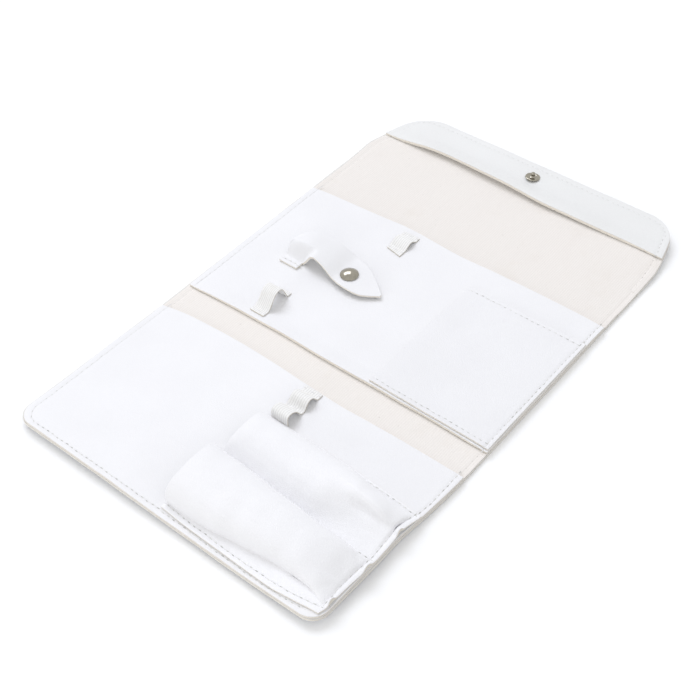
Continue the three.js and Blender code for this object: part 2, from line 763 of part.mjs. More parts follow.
for (const [side, tag] of [[-1, "left"], [1, "right"]]) {
  const foldX = side < 0 ? leftSeamX : rightSeamX;
  const coverX = side * (half - coverSeamInset);
  const x = side < 0 ? leftSeamX : half - middleRightSeamInset;
  thread("thread_near_fold_" + tag, line(foldX, nearFold1 + 0.8, foldX, nearFold2 - 0.8, onLining, 4));
  thread("thread_far_fold_" + tag, line(coverX, farFold1 + 0.8, coverX, farFold2 - 0.8, onLining, 6));
  const height = (px, py) => {
    const onCard = side > 0 && py > cardY0 - 0.9 && py < cardY1 + 0.9;
    return onCard ? onPocket + cardRide(px, py) : level + middleBow(px, py);
  };
  const steps = [cardY0 - 1.5, cardY0 - 0.8, cardY1 + 0.8, cardY1 + 1.5];
  const rows = spread(nearFold2 + 0.8, middleEnd - 0.8, 30).filter((y) =>
    steps.every((step) => Math.abs(y - step) > 0.7),
  );
  const path = rows.concat(steps).sort((p, q) => p - q).map((y) => [x, y, height(x, y)]);
  thread("thread_middle_" + tag, path);
}

// Cover: one thread from the fold, up onto the flap facing and round the tapered end.
const coverPath = [];
const coverSide = (side, y) => [edgeX(side, y) - side * coverSeamInset, y];
const coverLevel = (x, y) => {
  const up = smooth(y, flapEdgeY - 3.4, flapEdgeY - 0.9);
  return onLining + (level + flapBow(x, Math.max(y, flapEdgeY)) - onLining) * up;
};
const coverRows = rowsBetween(farFold2 + 0.8, flapEdgeY - 4).concat(
  spread(flapEdgeY - 3, flapEdgeY + 1, 6),
  spread(flapEdgeY + 3, length - coverSeamInset - 6, 6),
);
for (const y of coverRows) {
  const [x] = coverSide(-1, y);
  coverPath.push([x, y, coverLevel(x, y)]);
}
const farY = length - coverSeamInset;
const leftEnd = coverSide(-1, length - coverSeamInset - 6)[0];
const rightEnd = coverSide(1, length - coverSeamInset - 6)[0];
for (let k = 1; k <= 5; k++) {
  const a = (k / 5) * (Math.PI / 2);
  const x = leftEnd + 11 * (1 - Math.cos(a));
  const y = farY - 6 * (1 - Math.sin(a));
  coverPath.push([x, y, coverLevel(x, y)]);
}
for (const x of spread(leftEnd + 16, rightEnd - 16, 14)) coverPath.push([x, farY, coverLevel(x, farY)]);
for (let k = 5; k >= 1; k--) {
  const a = (k / 5) * (Math.PI / 2);
  const x = rightEnd - 9 * (1 - Math.cos(a));
  const y = farY - 6 * (1 - Math.sin(a));
  coverPath.push([x, y, coverLevel(x, y)]);
}
for (const y of coverRows.slice().reverse()) {
  const [x] = coverSide(1, y);
  coverPath.push([x, y, coverLevel(x, y)]);
}
thread("thread_cover_edge", coverPath);

export default part;
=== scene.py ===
"""A soft leather jewelry case that lies open, made round its CAD frame.

One long leather piece folds in three. The near panel carries two tubular pockets and a
double elastic loop, the middle panel two elastic loops, a snap strap and a card pocket, and
the cover ends in a flap with the closing snap.
"""

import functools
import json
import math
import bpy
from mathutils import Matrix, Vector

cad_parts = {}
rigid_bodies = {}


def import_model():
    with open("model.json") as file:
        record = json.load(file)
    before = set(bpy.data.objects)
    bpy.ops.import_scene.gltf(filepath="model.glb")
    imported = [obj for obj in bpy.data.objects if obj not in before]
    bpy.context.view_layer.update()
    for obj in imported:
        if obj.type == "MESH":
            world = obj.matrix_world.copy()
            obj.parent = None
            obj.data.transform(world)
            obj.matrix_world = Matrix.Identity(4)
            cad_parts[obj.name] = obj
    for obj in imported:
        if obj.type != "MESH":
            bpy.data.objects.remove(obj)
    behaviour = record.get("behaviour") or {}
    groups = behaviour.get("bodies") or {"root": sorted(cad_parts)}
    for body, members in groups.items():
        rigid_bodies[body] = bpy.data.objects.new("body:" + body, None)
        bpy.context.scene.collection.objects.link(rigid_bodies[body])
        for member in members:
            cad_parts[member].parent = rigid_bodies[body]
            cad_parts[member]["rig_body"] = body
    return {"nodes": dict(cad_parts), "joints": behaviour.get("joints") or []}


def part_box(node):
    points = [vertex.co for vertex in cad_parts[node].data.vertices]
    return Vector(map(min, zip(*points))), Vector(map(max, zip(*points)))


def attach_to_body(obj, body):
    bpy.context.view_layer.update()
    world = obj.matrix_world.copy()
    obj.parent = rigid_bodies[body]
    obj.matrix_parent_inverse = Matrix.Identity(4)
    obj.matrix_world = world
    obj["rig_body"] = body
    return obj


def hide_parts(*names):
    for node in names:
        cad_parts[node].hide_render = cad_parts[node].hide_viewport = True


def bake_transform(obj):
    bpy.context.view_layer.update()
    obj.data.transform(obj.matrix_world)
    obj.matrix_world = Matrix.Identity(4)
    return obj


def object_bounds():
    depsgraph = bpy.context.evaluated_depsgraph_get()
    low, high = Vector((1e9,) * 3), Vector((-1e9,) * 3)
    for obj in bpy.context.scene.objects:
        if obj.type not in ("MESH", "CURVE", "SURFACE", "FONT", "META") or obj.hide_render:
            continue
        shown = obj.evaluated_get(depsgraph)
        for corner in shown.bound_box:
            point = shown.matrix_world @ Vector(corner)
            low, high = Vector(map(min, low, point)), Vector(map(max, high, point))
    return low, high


bl_info = {
    "name": "Folding Jewelry Case",
    "version": (1, 0, 0),
    "blender": (4, 5, 0),
    "location": "3D View > Sidebar > Jewelry Case",
    "description": "Leather, lining, elastic, stitching and snaps of a folding jewelry case",
    "category": "Object",
}

from typing import Callable, NamedTuple

import bpy
import numpy as np
from mathutils import Matrix, Vector
from mathutils.kdtree import KDTree

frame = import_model()
CAD_LOW, CAD_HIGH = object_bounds()

# ---- Places, in millimetres ----
# Lengths here are in millimetres: x across the case from its middle, y along it from the
# near edge, z up from the table. metres() turns them into the frame's own coordinates.
MM = 1000.0
WIDTH = (CAD_HIGH.x - CAD_LOW.x) * MM
LENGTH = (CAD_HIGH.y - CAD_LOW.y) * MM
HALF = WIDTH / 2


def metres(points):
    """Points in this script's millimetres, as points of the frame."""
    points = np.asarray(points, float)
    return (points - (0, LENGTH / 2, 0)) / MM


def box(node):
    """The lowest and highest corner of a CAD node, in this script's millimetres."""
    low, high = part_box(node)
    shift = Vector((0, LENGTH / 2, 0))
    return low * MM + shift, high * MM + shift


def centre(node):
    """x and y of the middle of a CAD node."""
    low, high = box(node)
    return (low.x + high.x) / 2, (low.y + high.y) / 2


def hinge_y(name):
    """Where a fold's hinge line lies along the case."""
    joint = next(j for j in frame["joints"] if j["name"] == name)
    return joint["pos_m"][1] * MM + LENGTH / 2


COVER_BEND = 8.0  # how far the far fold's bend reaches into the cover
NEAR_FOLD_START = hinge_y("near_panel_hinge")
NEAR_FOLD_END = hinge_y("near_fold_hinge")
FAR_FOLD_START = hinge_y("far_fold_hinge")
FAR_FOLD_END = hinge_y("cover_hinge")
COVER_BEND_END = FAR_FOLD_END + COVER_BEND
NEAR_FOLD_MIDDLE = (NEAR_FOLD_START + NEAR_FOLD_END) / 2
FAR_FOLD_MIDDLE = (FAR_FOLD_START + FAR_FOLD_END) / 2
MIDDLE_END = box("facing_middle_panel")[1].y
FLAP_EDGE = box("facing_flap")[0].y
OUTER_SOCKET_END = box("outer_socket")[1].y

CORNER = 10.0  # radius of the near corners
TAPER_LENGTH = 45.0
TAPER = {-1: (16.5, 1.2, 18.0), 1: (11.0, 1.5, 16.0)}  # depth, power and corner radius
# y, and how far the right side is drawn in beside the gathered tubes.
DRAWN_IN = [(0, 3.0), (10, 3.0), (20, 2.8), (34, 2.5), (48, 2.3), (58, 2.6), (66, 2.6),
            (76, 2.0), (88, 1.1), (100, 0.4), (112, 0)]
NEAR_LIFT, COVER_LIFT = 1.4, 3.4
CURL = 1.3  # how far the near corners stand off the table
WAVE_HEIGHT, WAVE_SIZE = 0.13, 34  # the leather's own slight waves
CLEARANCE = 0.1  # between the table and leather that lies flat
SHELL = (0.0, 1.7)  # underside and top of each layer, above the ground
LINING = (1.74, 2.15)
FACING = (2.25, 3.7)
POCKET = (3.75, 4.95)
CUT_STEPS = (0.1, 0.26, 0.5, 0.9, 1.5, 2.3)  # places beside a cut edge, as distances from it
SEAM_STEPS = (-1.5, -0.9, -0.55, -0.25, 0.0, 0.25, 0.55, 0.9, 1.5)


def smooth(v, a, b):
    """From 0 at a to 1 at b, with no corner at either end."""
    t = np.clip((np.asarray(v, float) - a) / (b - a), 0, 1)
    return t * t * (3 - 2 * t)


def bell(v, middle, reach):
    """1 at middle, dying out about reach away from it."""
    return np.exp(-(((np.asarray(v, float) - middle) / reach) ** 2))


def read_off(pairs, v):
    """The value at v of a table of places and values."""
    places, values = zip(*pairs)
    return np.interp(v, places, values)


def wander(x, y, size, seed):
    """Smooth hills and hollows about size across, between about -1 and 1."""
    rng = np.random.default_rng(seed)
    x, y = np.asarray(x, float), np.asarray(y, float)
    total = np.zeros(np.broadcast(x, y).shape)
    for _ in range(9):
        angle, phase = rng.uniform(0, 2 * math.pi, 2)
        wave = 2 * math.pi / (size * rng.uniform(1.2, 3.2))
        total += np.sin(wave * (x * math.cos(angle) + y * math.sin(angle)) + phase)
    return total / 4.2


def lift(y):
    """The near panel rests on its outer socket, and the cover curls up to its end."""
    near = NEAR_LIFT * (1 - smooth(y, OUTER_SOCKET_END - 0.5, NEAR_FOLD_START - 3))
    return near + COVER_LIFT * smooth(y, FAR_FOLD_END + 2, LENGTH)


def ground(x, y):
    """Height of the shell's underside: the lift, the curl and the leather's slight waves."""
    x = np.asarray(x, float)
    curl = CURL * (smooth(-x, -50, 80) * (1 - smooth(y, 0, 50))
                   + smooth(x, 55, 105) * (1 - smooth(y, 40, 84)))
    still = 1 - bell(y, NEAR_FOLD_START, 3) - bell(y, FAR_FOLD_START, 3)
    waves = WAVE_HEIGHT * wander(x, y, WAVE_SIZE, 5) * np.clip(still, 0, 1)
    return lift(y) + curl + waves + CLEARANCE


def inset(side, y):
    """How far the outline stands in from the straight side at y.

    Beside the gathered tubes the right side is drawn in.
    """
    depth, power, radius = TAPER[side]
    drawn = read_off(DRAWN_IN, y) if side > 0 else 0.0
    t = np.clip((y - (LENGTH - TAPER_LENGTH)) / TAPER_LENGTH, 0, 1)
    far = np.clip(y - (LENGTH - radius), 0, radius)
    near = np.clip(CORNER - y, 0, CORNER)
    rounded = radius - np.sqrt(radius**2 - far**2) + CORNER - np.sqrt(CORNER**2 - near**2)
    return depth * t**power + rounded + drawn


def edge_x(side, y):
    """x of the left (-1) or right (1) edge at y."""
    return side * (HALF - inset(side, np.asarray(y, float)))


def stations(a, b, step, cut=(True, True), fine=()):
    """Places from a to b about a step apart, closer beside cut ends and seams."""
    close = [a, b]
    if cut[0]:
        close += [a + d for d in CUT_STEPS]
    if cut[1]:
        close += [b - d for d in CUT_STEPS]
    close += [f + d for f in fine for d in SEAM_STEPS if a + 0.05 < f + d < b - 0.05]
    kept = []
    for v in sorted(close):
        if not kept or v - kept[-1] > 0.06:
            kept.append(v)
    kept[-1] = b
    count = max(2, round((b - a) / step))
    near = np.array(kept)
    for v in np.linspace(a, b, count + 1):
        if np.abs(near - v).min() > 0.42 * step:
            kept.append(float(v))
    return np.array(sorted(kept))


def from_start(gaps):
    """Distances from the first point of a row, given the gaps between its points."""
    return np.concatenate([[0], np.cumsum(gaps)])


def resampled(points, step):
    """A polyline's points set about a step apart."""
    points = np.asarray(points, float)
    along = from_start(np.linalg.norm(np.diff(points, axis=0), axis=1))
    at = np.linspace(0, along[-1], max(1, round(along[-1] / step)) + 1)
    return np.stack([np.interp(at, along, values) for values in points.T], 1)


def curve_through(points, count):
    """A smooth row of evenly spaced points through the given ones."""
    points = np.asarray(points, float)
    padded = np.vstack([2 * points[0] - points[1], points, 2 * points[-1] - points[-2]])
    made = [points[0]]
    for p0, p1, p2, p3 in zip(padded, padded[1:], padded[2:], padded[3:]):
        t1 = np.linalg.norm(p1 - p0) ** 0.5 + 1e-9
        t2 = t1 + np.linalg.norm(p2 - p1) ** 0.5 + 1e-9
        t3 = t2 + np.linalg.norm(p3 - p2) ** 0.5 + 1e-9
        for t in np.linspace(t1, t2, 13)[1:]:
            a1 = (t1 - t) / t1 * p0 + t / t1 * p1
            a2 = (t2 - t) / (t2 - t1) * p1 + (t - t1) / (t2 - t1) * p2
            a3 = (t3 - t) / (t3 - t2) * p2 + (t - t2) / (t3 - t2) * p3
            b1 = (t2 - t) / t2 * a1 + t / t2 * a2
            b2 = (t3 - t) / (t3 - t1) * a2 + (t - t1) / (t3 - t1) * a3
            made.append((t2 - t) / (t2 - t1) * b1 + (t - t1) / (t2 - t1) * b2)
    made = np.array(made)
    length = np.linalg.norm(np.diff(made, axis=0), axis=1).sum()
    return resampled(made, length / count)


def distance_to(x, y, paths):
    """Distance in the plane from each x, y to the nearest of some polylines."""
    x, y = np.broadcast_arrays(np.asarray(x, float), np.asarray(y, float))
    best = np.full(x.shape, 1e9)
    for path in paths:
        for (ax, ay), (bx, by) in zip(path[:, :2], path[1:, :2]):
            dx, dy = bx - ax, by - ay
            t = np.clip(((x - ax) * dx + (y - ay) * dy) / (dx * dx + dy * dy + 1e-12), 0, 1)
            best = np.minimum(best, np.hypot(x - ax - t * dx, y - ay - t * dy))
    return best


def groove(x, y, paths, depth=0.17):
    """How far the stitching draws the leather down, and the slight swell beside it."""
    d = distance_to(x, y, paths)
    return depth * bell(d, 0, 0.8) - 0.3 * depth * bell(d, 2.2, 1.1)


# ---- Meshes ----
EDGE_SHARES = (0.2, 0.4, 0.6, 0.8)  # rows of points down a cut edge
EDGE_SWELL = 0.1  # how far a cut edge stands out halfway down
THINNEST = 0.08  # half the thickness that is left at a rounded edge


def add_object(name, mesh):
    obj = bpy.data.objects.new(name, mesh)
    bpy.context.scene.collection.objects.link(obj)
    return obj


def unit(vectors):
    """Vectors made one long, apart from those that are zero."""
    return vectors / np.maximum(np.linalg.norm(vectors, axis=-1, keepdims=True), 1e-9)


def mesh_of(name, points, quads, creases, **attributes):
    """A smooth mesh of four-sided faces in the frame, with point attributes.

    creases are pairs of points whose edges stay sharp.
    """
    used = np.unique(quads)
    index = np.full(len(points), -1)
    index[used] = np.arange(len(used))
    quads = index[quads].astype(np.int32)
    mesh = bpy.data.meshes.new(name)
    mesh.vertices.add(len(used))
    mesh.vertices.foreach_set("co", metres(points[used]).astype(np.float32).ravel())
    mesh.loops.add(quads.size)
    mesh.loops.foreach_set("vertex_index", quads.ravel())
    mesh.polygons.add(len(quads))
    mesh.polygons.foreach_set("loop_start", np.arange(0, quads.size, 4, dtype=np.int32))
    mesh.update(calc_edges=True)
    for key, values in attributes.items():
        layer = mesh.attributes.new(key, "FLOAT", "POINT")
        layer.data.foreach_set("value", np.asarray(values, np.float32)[used])
    if len(creases):
        ends = np.zeros(2 * len(mesh.edges), np.int32)
        mesh.edges.foreach_get("vertices", ends)
        keys = [np.sort(e.reshape(-1, 2), 1) @ (len(used), 1) for e in (ends, index[creases])]
        sharp = mesh.attributes.new("sharp_edge", "BOOLEAN", "EDGE")
        sharp.data.foreach_set("value", np.isin(*keys))
    mesh.validate()
    return mesh


def rim_of(faces, count):
    """The edges that only one face has, each in that face's own direction."""
    edges = np.concatenate([faces[:, (k, (k + 1) % 4)] for k in range(4)])
    keys = edges.min(1) * count + edges.max(1)
    _, first, times = np.unique(keys, return_index=True, return_counts=True)
    return edges[first[times == 1]]


def rounding(points, edge_points, radius):
    """How far a face falls at each point, so that it is rounded towards the cut edges."""
    tree = KDTree(len(edge_points))
    for k, point in enumerate(edge_points):
        tree.insert(point, k)
    tree.balance()
    reach = np.array([tree.find(point)[2] for point in points])
    fall = np.clip(1 - reach / radius, 0, 1)
    return radius * (1 - np.sqrt(1 - fall**2)) * 0.9


def slab(name, top, bottom, present=None, joints=(False, False), radius=0.18,
         ragged=0.02, flesh="bottom", seed=1, extras=None):
    """A closed piece of sheet between an upper and a lower grid of points.

    Rows run along +y and columns along +x. present says which quads there are. A joints flag
    marks the first or last row as a place where the next piece of the same sheet goes on:
    there the wall is plain, and elsewhere it is a rounded cut edge.
    """
    ni, nj = top.shape[:2]
    count = ni * nj
    ids = np.arange(count).reshape(ni, nj)
    faces = np.stack([ids[:-1, :-1], ids[:-1, 1:], ids[1:, 1:], ids[1:, :-1]], -1)
    faces = faces.reshape(-1, 4) if present is None else faces[present]
    rim = rim_of(faces, count)
    plain = np.zeros(len(rim), bool)
    for row, joined in zip((0, ni - 1), joints):
        if joined:
            plain |= (rim // nj == row).all(1)
    cut = rim[~plain]
    edge_ids, rim_ids = np.unique(cut), np.unique(rim)

    up, low = top.reshape(-1, 3), bottom.reshape(-1, 3)
    middle, halfway = (up + low) / 2, (up - low) / 2
    axis = unit(halfway)
    # Outward direction at each point of a cut edge.
    side = unit(np.cross(up[cut[:, 1]] - up[cut[:, 0]], axis[cut[:, 0]]))
    outward = np.zeros((count, 3))
    for k in (0, 1):
        np.add.at(outward, cut[:, k], side)
    outward[np.unique(rim[plain])] = 0
    outward = unit(outward)
    if len(edge_ids):
        thick = np.linalg.norm(halfway, axis=1) - rounding(middle, middle[edge_ids], radius)
        halfway = axis * np.maximum(thick, THINNEST)[:, None]
        up, low = middle + halfway, middle - halfway

    rng = np.random.default_rng(seed)
    place = np.full(count, -1)
    place[rim_ids] = np.arange(len(rim_ids))
    points, loops = [up, low], [rim]
    for k, share in enumerate(EDGE_SHARES):
        swell = EDGE_SWELL * math.sin(math.pi * share) + ragged * rng.uniform(-1, 1, len(rim_ids))
        line = up[rim_ids] * (1 - share) + low[rim_ids] * share
        points.append(line + outward[rim_ids] * swell[:, None])
        loops.append(place[rim] + 2 * count + k * len(rim_ids))
    loops.append(rim + count)
    quads = [faces, faces[:, (0, 3, 2, 1)] + count]
    for upper, lower in zip(loops, loops[1:]):
        quads.append(np.column_stack([upper[:, 0], lower, upper[:, 1]]))

    points, quads = np.concatenate(points), np.concatenate(quads)
    fibre, inner = np.zeros(len(points)), np.zeros(len(points))
    fibre[2 * count:] = 1
    fibre[edge_ids] = fibre[edge_ids + count] = 0.3
    if flesh:
        start = 0 if flesh == "top" else count
        inner[start:start + count] = 1
    given = {
        key: np.concatenate([v.ravel()] * 2 + [v.ravel()[rim_ids]] * len(EDGE_SHARES))
        for key, v in (extras or {}).items()
    }
    creases = np.concatenate([rim[plain], rim[plain] + count])
    return mesh_of(name, points, quads, creases, cut=fibre, flesh=inner, **given)


def normals(middle, apart=0):
    """Unit normals of a surface given as rows of points.

    The rows before the row apart face their own way, as a foot beside a loose edge does.
    """
    parts = (middle[:apart], middle[apart:]) if apart else (middle,)
    rows = np.concatenate([np.gradient(part, axis=0) for part in parts])
    return unit(np.cross(np.gradient(middle, axis=1), rows))


def bent_slab(name, middle, thickness, apart=0, **options):
    """A piece of sheet of a given thickness about a middle surface, with rows apart."""
    half = normals(middle, apart) * thickness / 2
    return slab(name, middle + half, middle - half, **options)


def blurred(values, times, axis):
    """Values softened along one axis, with both ends kept."""
    values = np.moveaxis(np.array(values, float), axis, 0)
    for _ in range(times):
        values[1:-1] = (values[:-2] + 2 * values[1:-1] + values[2:]) / 4
    return np.moveaxis(values, 0, axis)


# ---- What a user may change ----
def colour_property(name, description, default):
    return bpy.props.FloatVectorProperty(
        name=name, description=description, subtype="COLOR", size=3, min=0, max=1,
        default=default,
    )


def number_property(name, description, default, low, high):
    return bpy.props.FloatProperty(
        name=name, description=description, default=default, min=low, max=high)


class CaseSizes(bpy.types.PropertyGroup):
    """Sizes in millimetres"""

    stitch_pitch: number_property("Stitch pitch", "From one stitch to the next", 3.8, 1.5, 8)
    stitch_length: number_property("Stitch length", "Thread seen at each stitch", 2.7, 0.8, 6)
    stitch_width: number_property("Thread width", "Width of the sewing thread", 0.6, 0.2, 1.5)
    needle_length: number_property("Needle mark length", "Slit left by the needle", 2.0, 0.3, 3)
    grain: number_property("Leather grain", "Size of one grain cell", 0.9, 0.3, 4)
    rib_pitch: number_property("Lining rib pitch", "From one lining rib to the next", 1.4, 0.5, 5)
    elastic_ribs: bpy.props.IntProperty(
        name="Elastic ribs", description="Ribs across a loop", default=8, min=3, max=16)


class CaseColours(bpy.types.PropertyGroup):
    leather: colour_property("Leather", "Outer and facing leather", (0.895, 0.893, 0.909))
    # The flap's leather is a darker copy of the case's leather: painted shade.
    flap: colour_property("Flap leather", "Leather of the flap's facing", (0.819, 0.821, 0.814))
    cut: colour_property("Cut edge", "Fibre seen where the leather is cut", (0.85, 0.80, 0.715))
    flesh: colour_property("Flesh side", "Suede underside of the leather", (0.84, 0.83, 0.80))
    lining: colour_property("Lining", "Ribbed cotton lining", (0.877, 0.844, 0.812))
    elastic: colour_property("Elastic", "Woven elastic of the loops", (0.97, 0.965, 0.95))
    thread: colour_property("Thread", "Sewing thread", (0.91, 0.905, 0.91))
    needle: colour_property("Needle mark", "Shade inside a needle hole", (0.48, 0.48, 0.46))
    nickel: colour_property("Snap metal", "Plating of the snaps", (0.36, 0.335, 0.28))
    floor: colour_property("Floor", "Paper that the case lies on", (0.925, 0.93, 0.935))


class CaseLight(bpy.types.PropertyGroup):
    key: number_property("Key light", "Power of the large soft lamp, in watts", 73.0, 0, 500)
    fill: number_property("Fill light", "Power of the low near lamp, in watts", 3.0, 0, 500)
    surroundings: number_property(
        "Surroundings", "Light from the white surroundings", 0.745, 0, 2)


# ---- Nodes written as expressions ----
class Wire:
    """An output socket that takes part in arithmetic."""

    def __init__(self, nodes, socket):
        self.nodes, self.socket = nodes, socket

    def math(self, operation, *values, clamp=False):
        settings = {"operation": operation, "use_clamp": clamp}
        return self.nodes.add("ShaderNodeMath", settings, dict(enumerate(values)))

    def __add__(self, other):
        return self.math("ADD", self, other)

    def __sub__(self, other):
        return self.math("SUBTRACT", self, other)

    def __rsub__(self, other):
        return self.math("SUBTRACT", other, self)

    def __mul__(self, other):
        return self.math("MULTIPLY", self, other)

    __radd__, __rmul__ = __add__, __mul__

    def clamped(self):
        return self.math("ADD", self, 0.0, clamp=True)

    def larger(self, other):
        return self.math("MAXIMUM", self, other)

    def swing(self):
        """Its sine, brought between 0 and 1."""
        return self.math("SINE", self) * 0.5 + 0.5

    def between(self, low, high):
        """0 below low, 1 above high."""
        return ((self - low) * (1 / (high - low))).clamped()


class Nodes:
    """A node tree in the making."""

    def __init__(self, tree):
        self.tree = tree

    def fill(self, node, inputs):
        """Gives a node's sockets their values or wires."""
        for key, value in inputs.items():
            if isinstance(value, Wire):
                self.tree.links.new(value.socket, node.inputs[key])
            else:
                node.inputs[key].default_value = value

    def add(self, kind, settings=None, inputs=None, output=0):
        """A new node's output: settings first, then the values or wires of its sockets."""
        node = self.tree.nodes.new(kind)
        for key, value in (settings or {}).items():
            setattr(node, key, value)
        self.fill(node, inputs or {})
        return Wire(self, node.outputs[output])


class Finish(Nodes):
    """A material in the making: its nodes, its shader and the object's own coordinates."""

    def __init__(self, name, specular, roughness=0.5):
        self.material = bpy.data.materials.new(name)
        self.material.use_nodes = True
        super().__init__(self.material.node_tree)
        self.shader = self.tree.nodes["Principled BSDF"]
        self.set(Specular_IOR_Level=specular, Roughness=roughness)
        self.where = self.add("ShaderNodeTexCoord", output="Object")

    def set(self, **inputs):
        """Gives the shader's sockets their values or wires; Base_Color means Base Color."""
        self.fill(self.shader, {key.replace("_", " "): value for key, value in inputs.items()})

    def mixed(self, share, first, second, blend="MIX"):
        """A colour between two, by share."""
        first, second = (c if isinstance(c, Wire) else (*c, 1.0) for c in (first, second))
        return self.add("ShaderNodeMix", {"data_type": "RGBA", "blend_type": blend},
                        {0: share, 6: first, 7: second}, 2)

    def noise(self, size, detail=2.0, rough=0.5, stretch=None):
        """Noise about size millimetres across, between 0 and 1, drawn out along the axes."""
        where = self.where
        if stretch:
            where = self.add("ShaderNodeMapping", None, {"Vector": where, "Scale": stretch})
        values = {"Vector": where, "Scale": MM / size, "Detail": detail, "Roughness": rough}
        return self.add("ShaderNodeTexNoise", None, values)

    def attribute(self, name):
        return self.add("ShaderNodeAttribute", {"attribute_name": name}, output="Fac")

    def axis(self, name):
        """X, Y or Z of the object's coordinates, in metres."""
        return self.add("ShaderNodeSeparateXYZ", None, {0: self.where}, name)

    def past(self, axis, low, high):
        """0 below low and 1 above high along X or Y, in this script's millimetres."""
        ends = (metres((v, v, 0))["XY".index(axis)] for v in (low, high))
        return self.axis(axis).between(*ends)

    def bump(self, height, depth):
        """A normal for a height between 0 and 1 that is depth millimetres deep."""
        return self.add("ShaderNodeBump", None, {"Height": height, "Distance": depth / MM})


def shade(colour, *shares):
    """A colour with its channels multiplied, by one share or by three."""
    return tuple(min(1.0, c * share) for c, share in zip(colour, shares * 3))


# ---- Finishes ----
# Lit and shaded copies of one leather: each part is made lighter or darker for the light that falls
# on it, as painted light and shade.
LEATHERS = {
    # finish: colour, how light it is painted, how deep the pebbles are
    "white_leather": ("leather", 0.98, 1.0),
    "middle_leather": ("leather", 0.975, 1.0),
    "card_leather": ("leather", 0.965, 1.4),
    "pebbled_leather": ("leather", 1.03, 1.7),
    "flap_leather": ("flap", 1.0, 1.0),
}


def leather_finish(name):
    """Coated leather: fine pebbled grain on its face, fibre on a cut, suede beneath."""
    colours, grain = bpy.context.scene.case_colours, bpy.context.scene.case_sizes.grain
    key, strength, pebble = LEATHERS[name]
    colour = shade(getattr(colours, key), strength)
    n = Finish(name, 0.42)
    cells = n.add("ShaderNodeTexVoronoi", {"feature": "DISTANCE_TO_EDGE"},
                  {"Vector": n.where, "Scale": MM / grain}).between(0.0, 0.32)
    fine, soft, broad = n.noise(grain * 0.35), n.noise(3.2), n.noise(38)
    fibre = n.noise(0.55, 3, 0.65)
    cut = (n.attribute("cut") + (fibre - 0.5) * 0.35).between(0.42, 0.6)
    suede = n.attribute("flesh").between(0.4, 0.6) * (1 - cut)
    dull = suede.larger(cut)

    face = n.mixed(broad.between(0.3, 0.7), colour, shade(colour, 0.975))
    face = n.mixed((1 - cells) * 0.16 * fine.between(0.3, 0.6), face, shade(colour, 0.8))
    nap = n.mixed(fibre.between(0.3, 0.7), shade(colours.flesh, 0.86), colours.flesh)
    dark = shade(colours.cut, 0.74)
    core = n.mixed(fibre.between(0.3, 0.46), dark, colours.cut)
    # Painted shade: the cut edges darken towards the right side.
    core = n.mixed(n.past("X", HALF - 9, HALF - 4) * 0.6, core, dark)
    height = cells * (0.6 * pebble) + fine * 0.25 + soft * (0.9 / pebble**2)
    n.set(
        Base_Color=n.mixed(cut, n.mixed(suede, face, nap), core),
        Roughness=(0.43 + 0.1 * (broad - 0.5) + 0.08 * (1 - cells) + dull * 0.45).clamped(),
        Normal=n.bump(height * (1 - dull) + fibre * dull * 0.9, 0.075),
    )
    return n.material


def lining_finish(name):
    """Ribbed cotton with slubs, a few flecks and faint handling marks, greyed at the far end as
    painted shade.
    """
    base = tuple(bpy.context.scene.case_colours.lining)
    turns = 2 * math.pi * MM / bpy.context.scene.case_sizes.rib_pitch
    n = Finish(name, 0.2, 0.95)
    rib = (n.axis("X") * turns + n.noise(20) * 7.0).swing()
    weft = n.noise(1.1, 3, 0.6, stretch=(1.0, 3.0, 3.0))
    nap = n.noise(0.5, 3, 0.7)
    slub = n.noise(7.0, stretch=(4.0, 0.5, 0.5))
    stain, fleck = n.noise(26, 4, 0.6), n.noise(1.7)
    low = ((1 - rib) * 0.38 + (1 - nap) * 0.55 + slub * 0.25 - 0.15).clamped()
    tone = n.mixed(low, shade(base, 1.05), shade(base, 0.93, 0.915, 0.90))
    tone = n.mixed(stain.between(0.56, 0.8) * 0.35, tone, shade(base, 0.90, 0.86, 0.81))
    tone = n.mixed(fleck.between(0.735, 0.80) * 0.5, tone, (0.42, 0.38, 0.35))
    # Painted shade: the lining is made greyer towards the far end.
    far = n.past("Y", FAR_FOLD_START - 8, FAR_FOLD_START)
    tone = n.mixed(far, tone, (0.975, 0.975, 0.975), "MULTIPLY")
    tone = n.mixed(n.attribute("cut").between(0.4, 0.6), tone, shade(base, 0.7))
    n.set(Base_Color=tone, Normal=n.bump(rib * 0.4 + weft * 0.4 + nap * 0.5, 0.12))
    return n.material


def elastic_finish(name):
    """Woven elastic: fine cross threads over its ribs, painted shade in the valleys between them,
    yellower where it is cut.
    """
    base = tuple(bpy.context.scene.case_colours.elastic)
    n = Finish(name, 0.25, 0.85)
    pick = (n.attribute("along") * (2 * math.pi / 0.62)).swing()
    nap, worn = n.noise(0.6, 3, 0.6), n.noise(5)
    tone = n.mixed((1 - pick) * 0.3 + nap * 0.25, base, shade(base, 0.88))
    # Painted shade in the valleys between the ribs.
    tone = n.mixed(n.attribute("valley") * 0.6, tone, shade(base, 0.66))
    tone = n.mixed(worn.between(0.5, 0.8) * 0.2, tone, (0.80, 0.76, 0.68))
    tone = n.mixed(n.attribute("cut").between(0.4, 0.7), tone, (0.62, 0.55, 0.42))
    n.set(Base_Color=tone, Normal=n.bump(pick * 0.6 + nap * 0.5, 0.09))
    return n.material


def thread_finish(name):
    """Twisted sewing thread."""
    base = tuple(bpy.context.scene.case_colours.thread)
    n = Finish(name, 0.3, 0.7)
    twist = n.noise(0.5)
    n.set(Base_Color=n.mixed(twist, base, shade(base, 0.86)), Normal=n.bump(twist, 0.08))
    return n.material


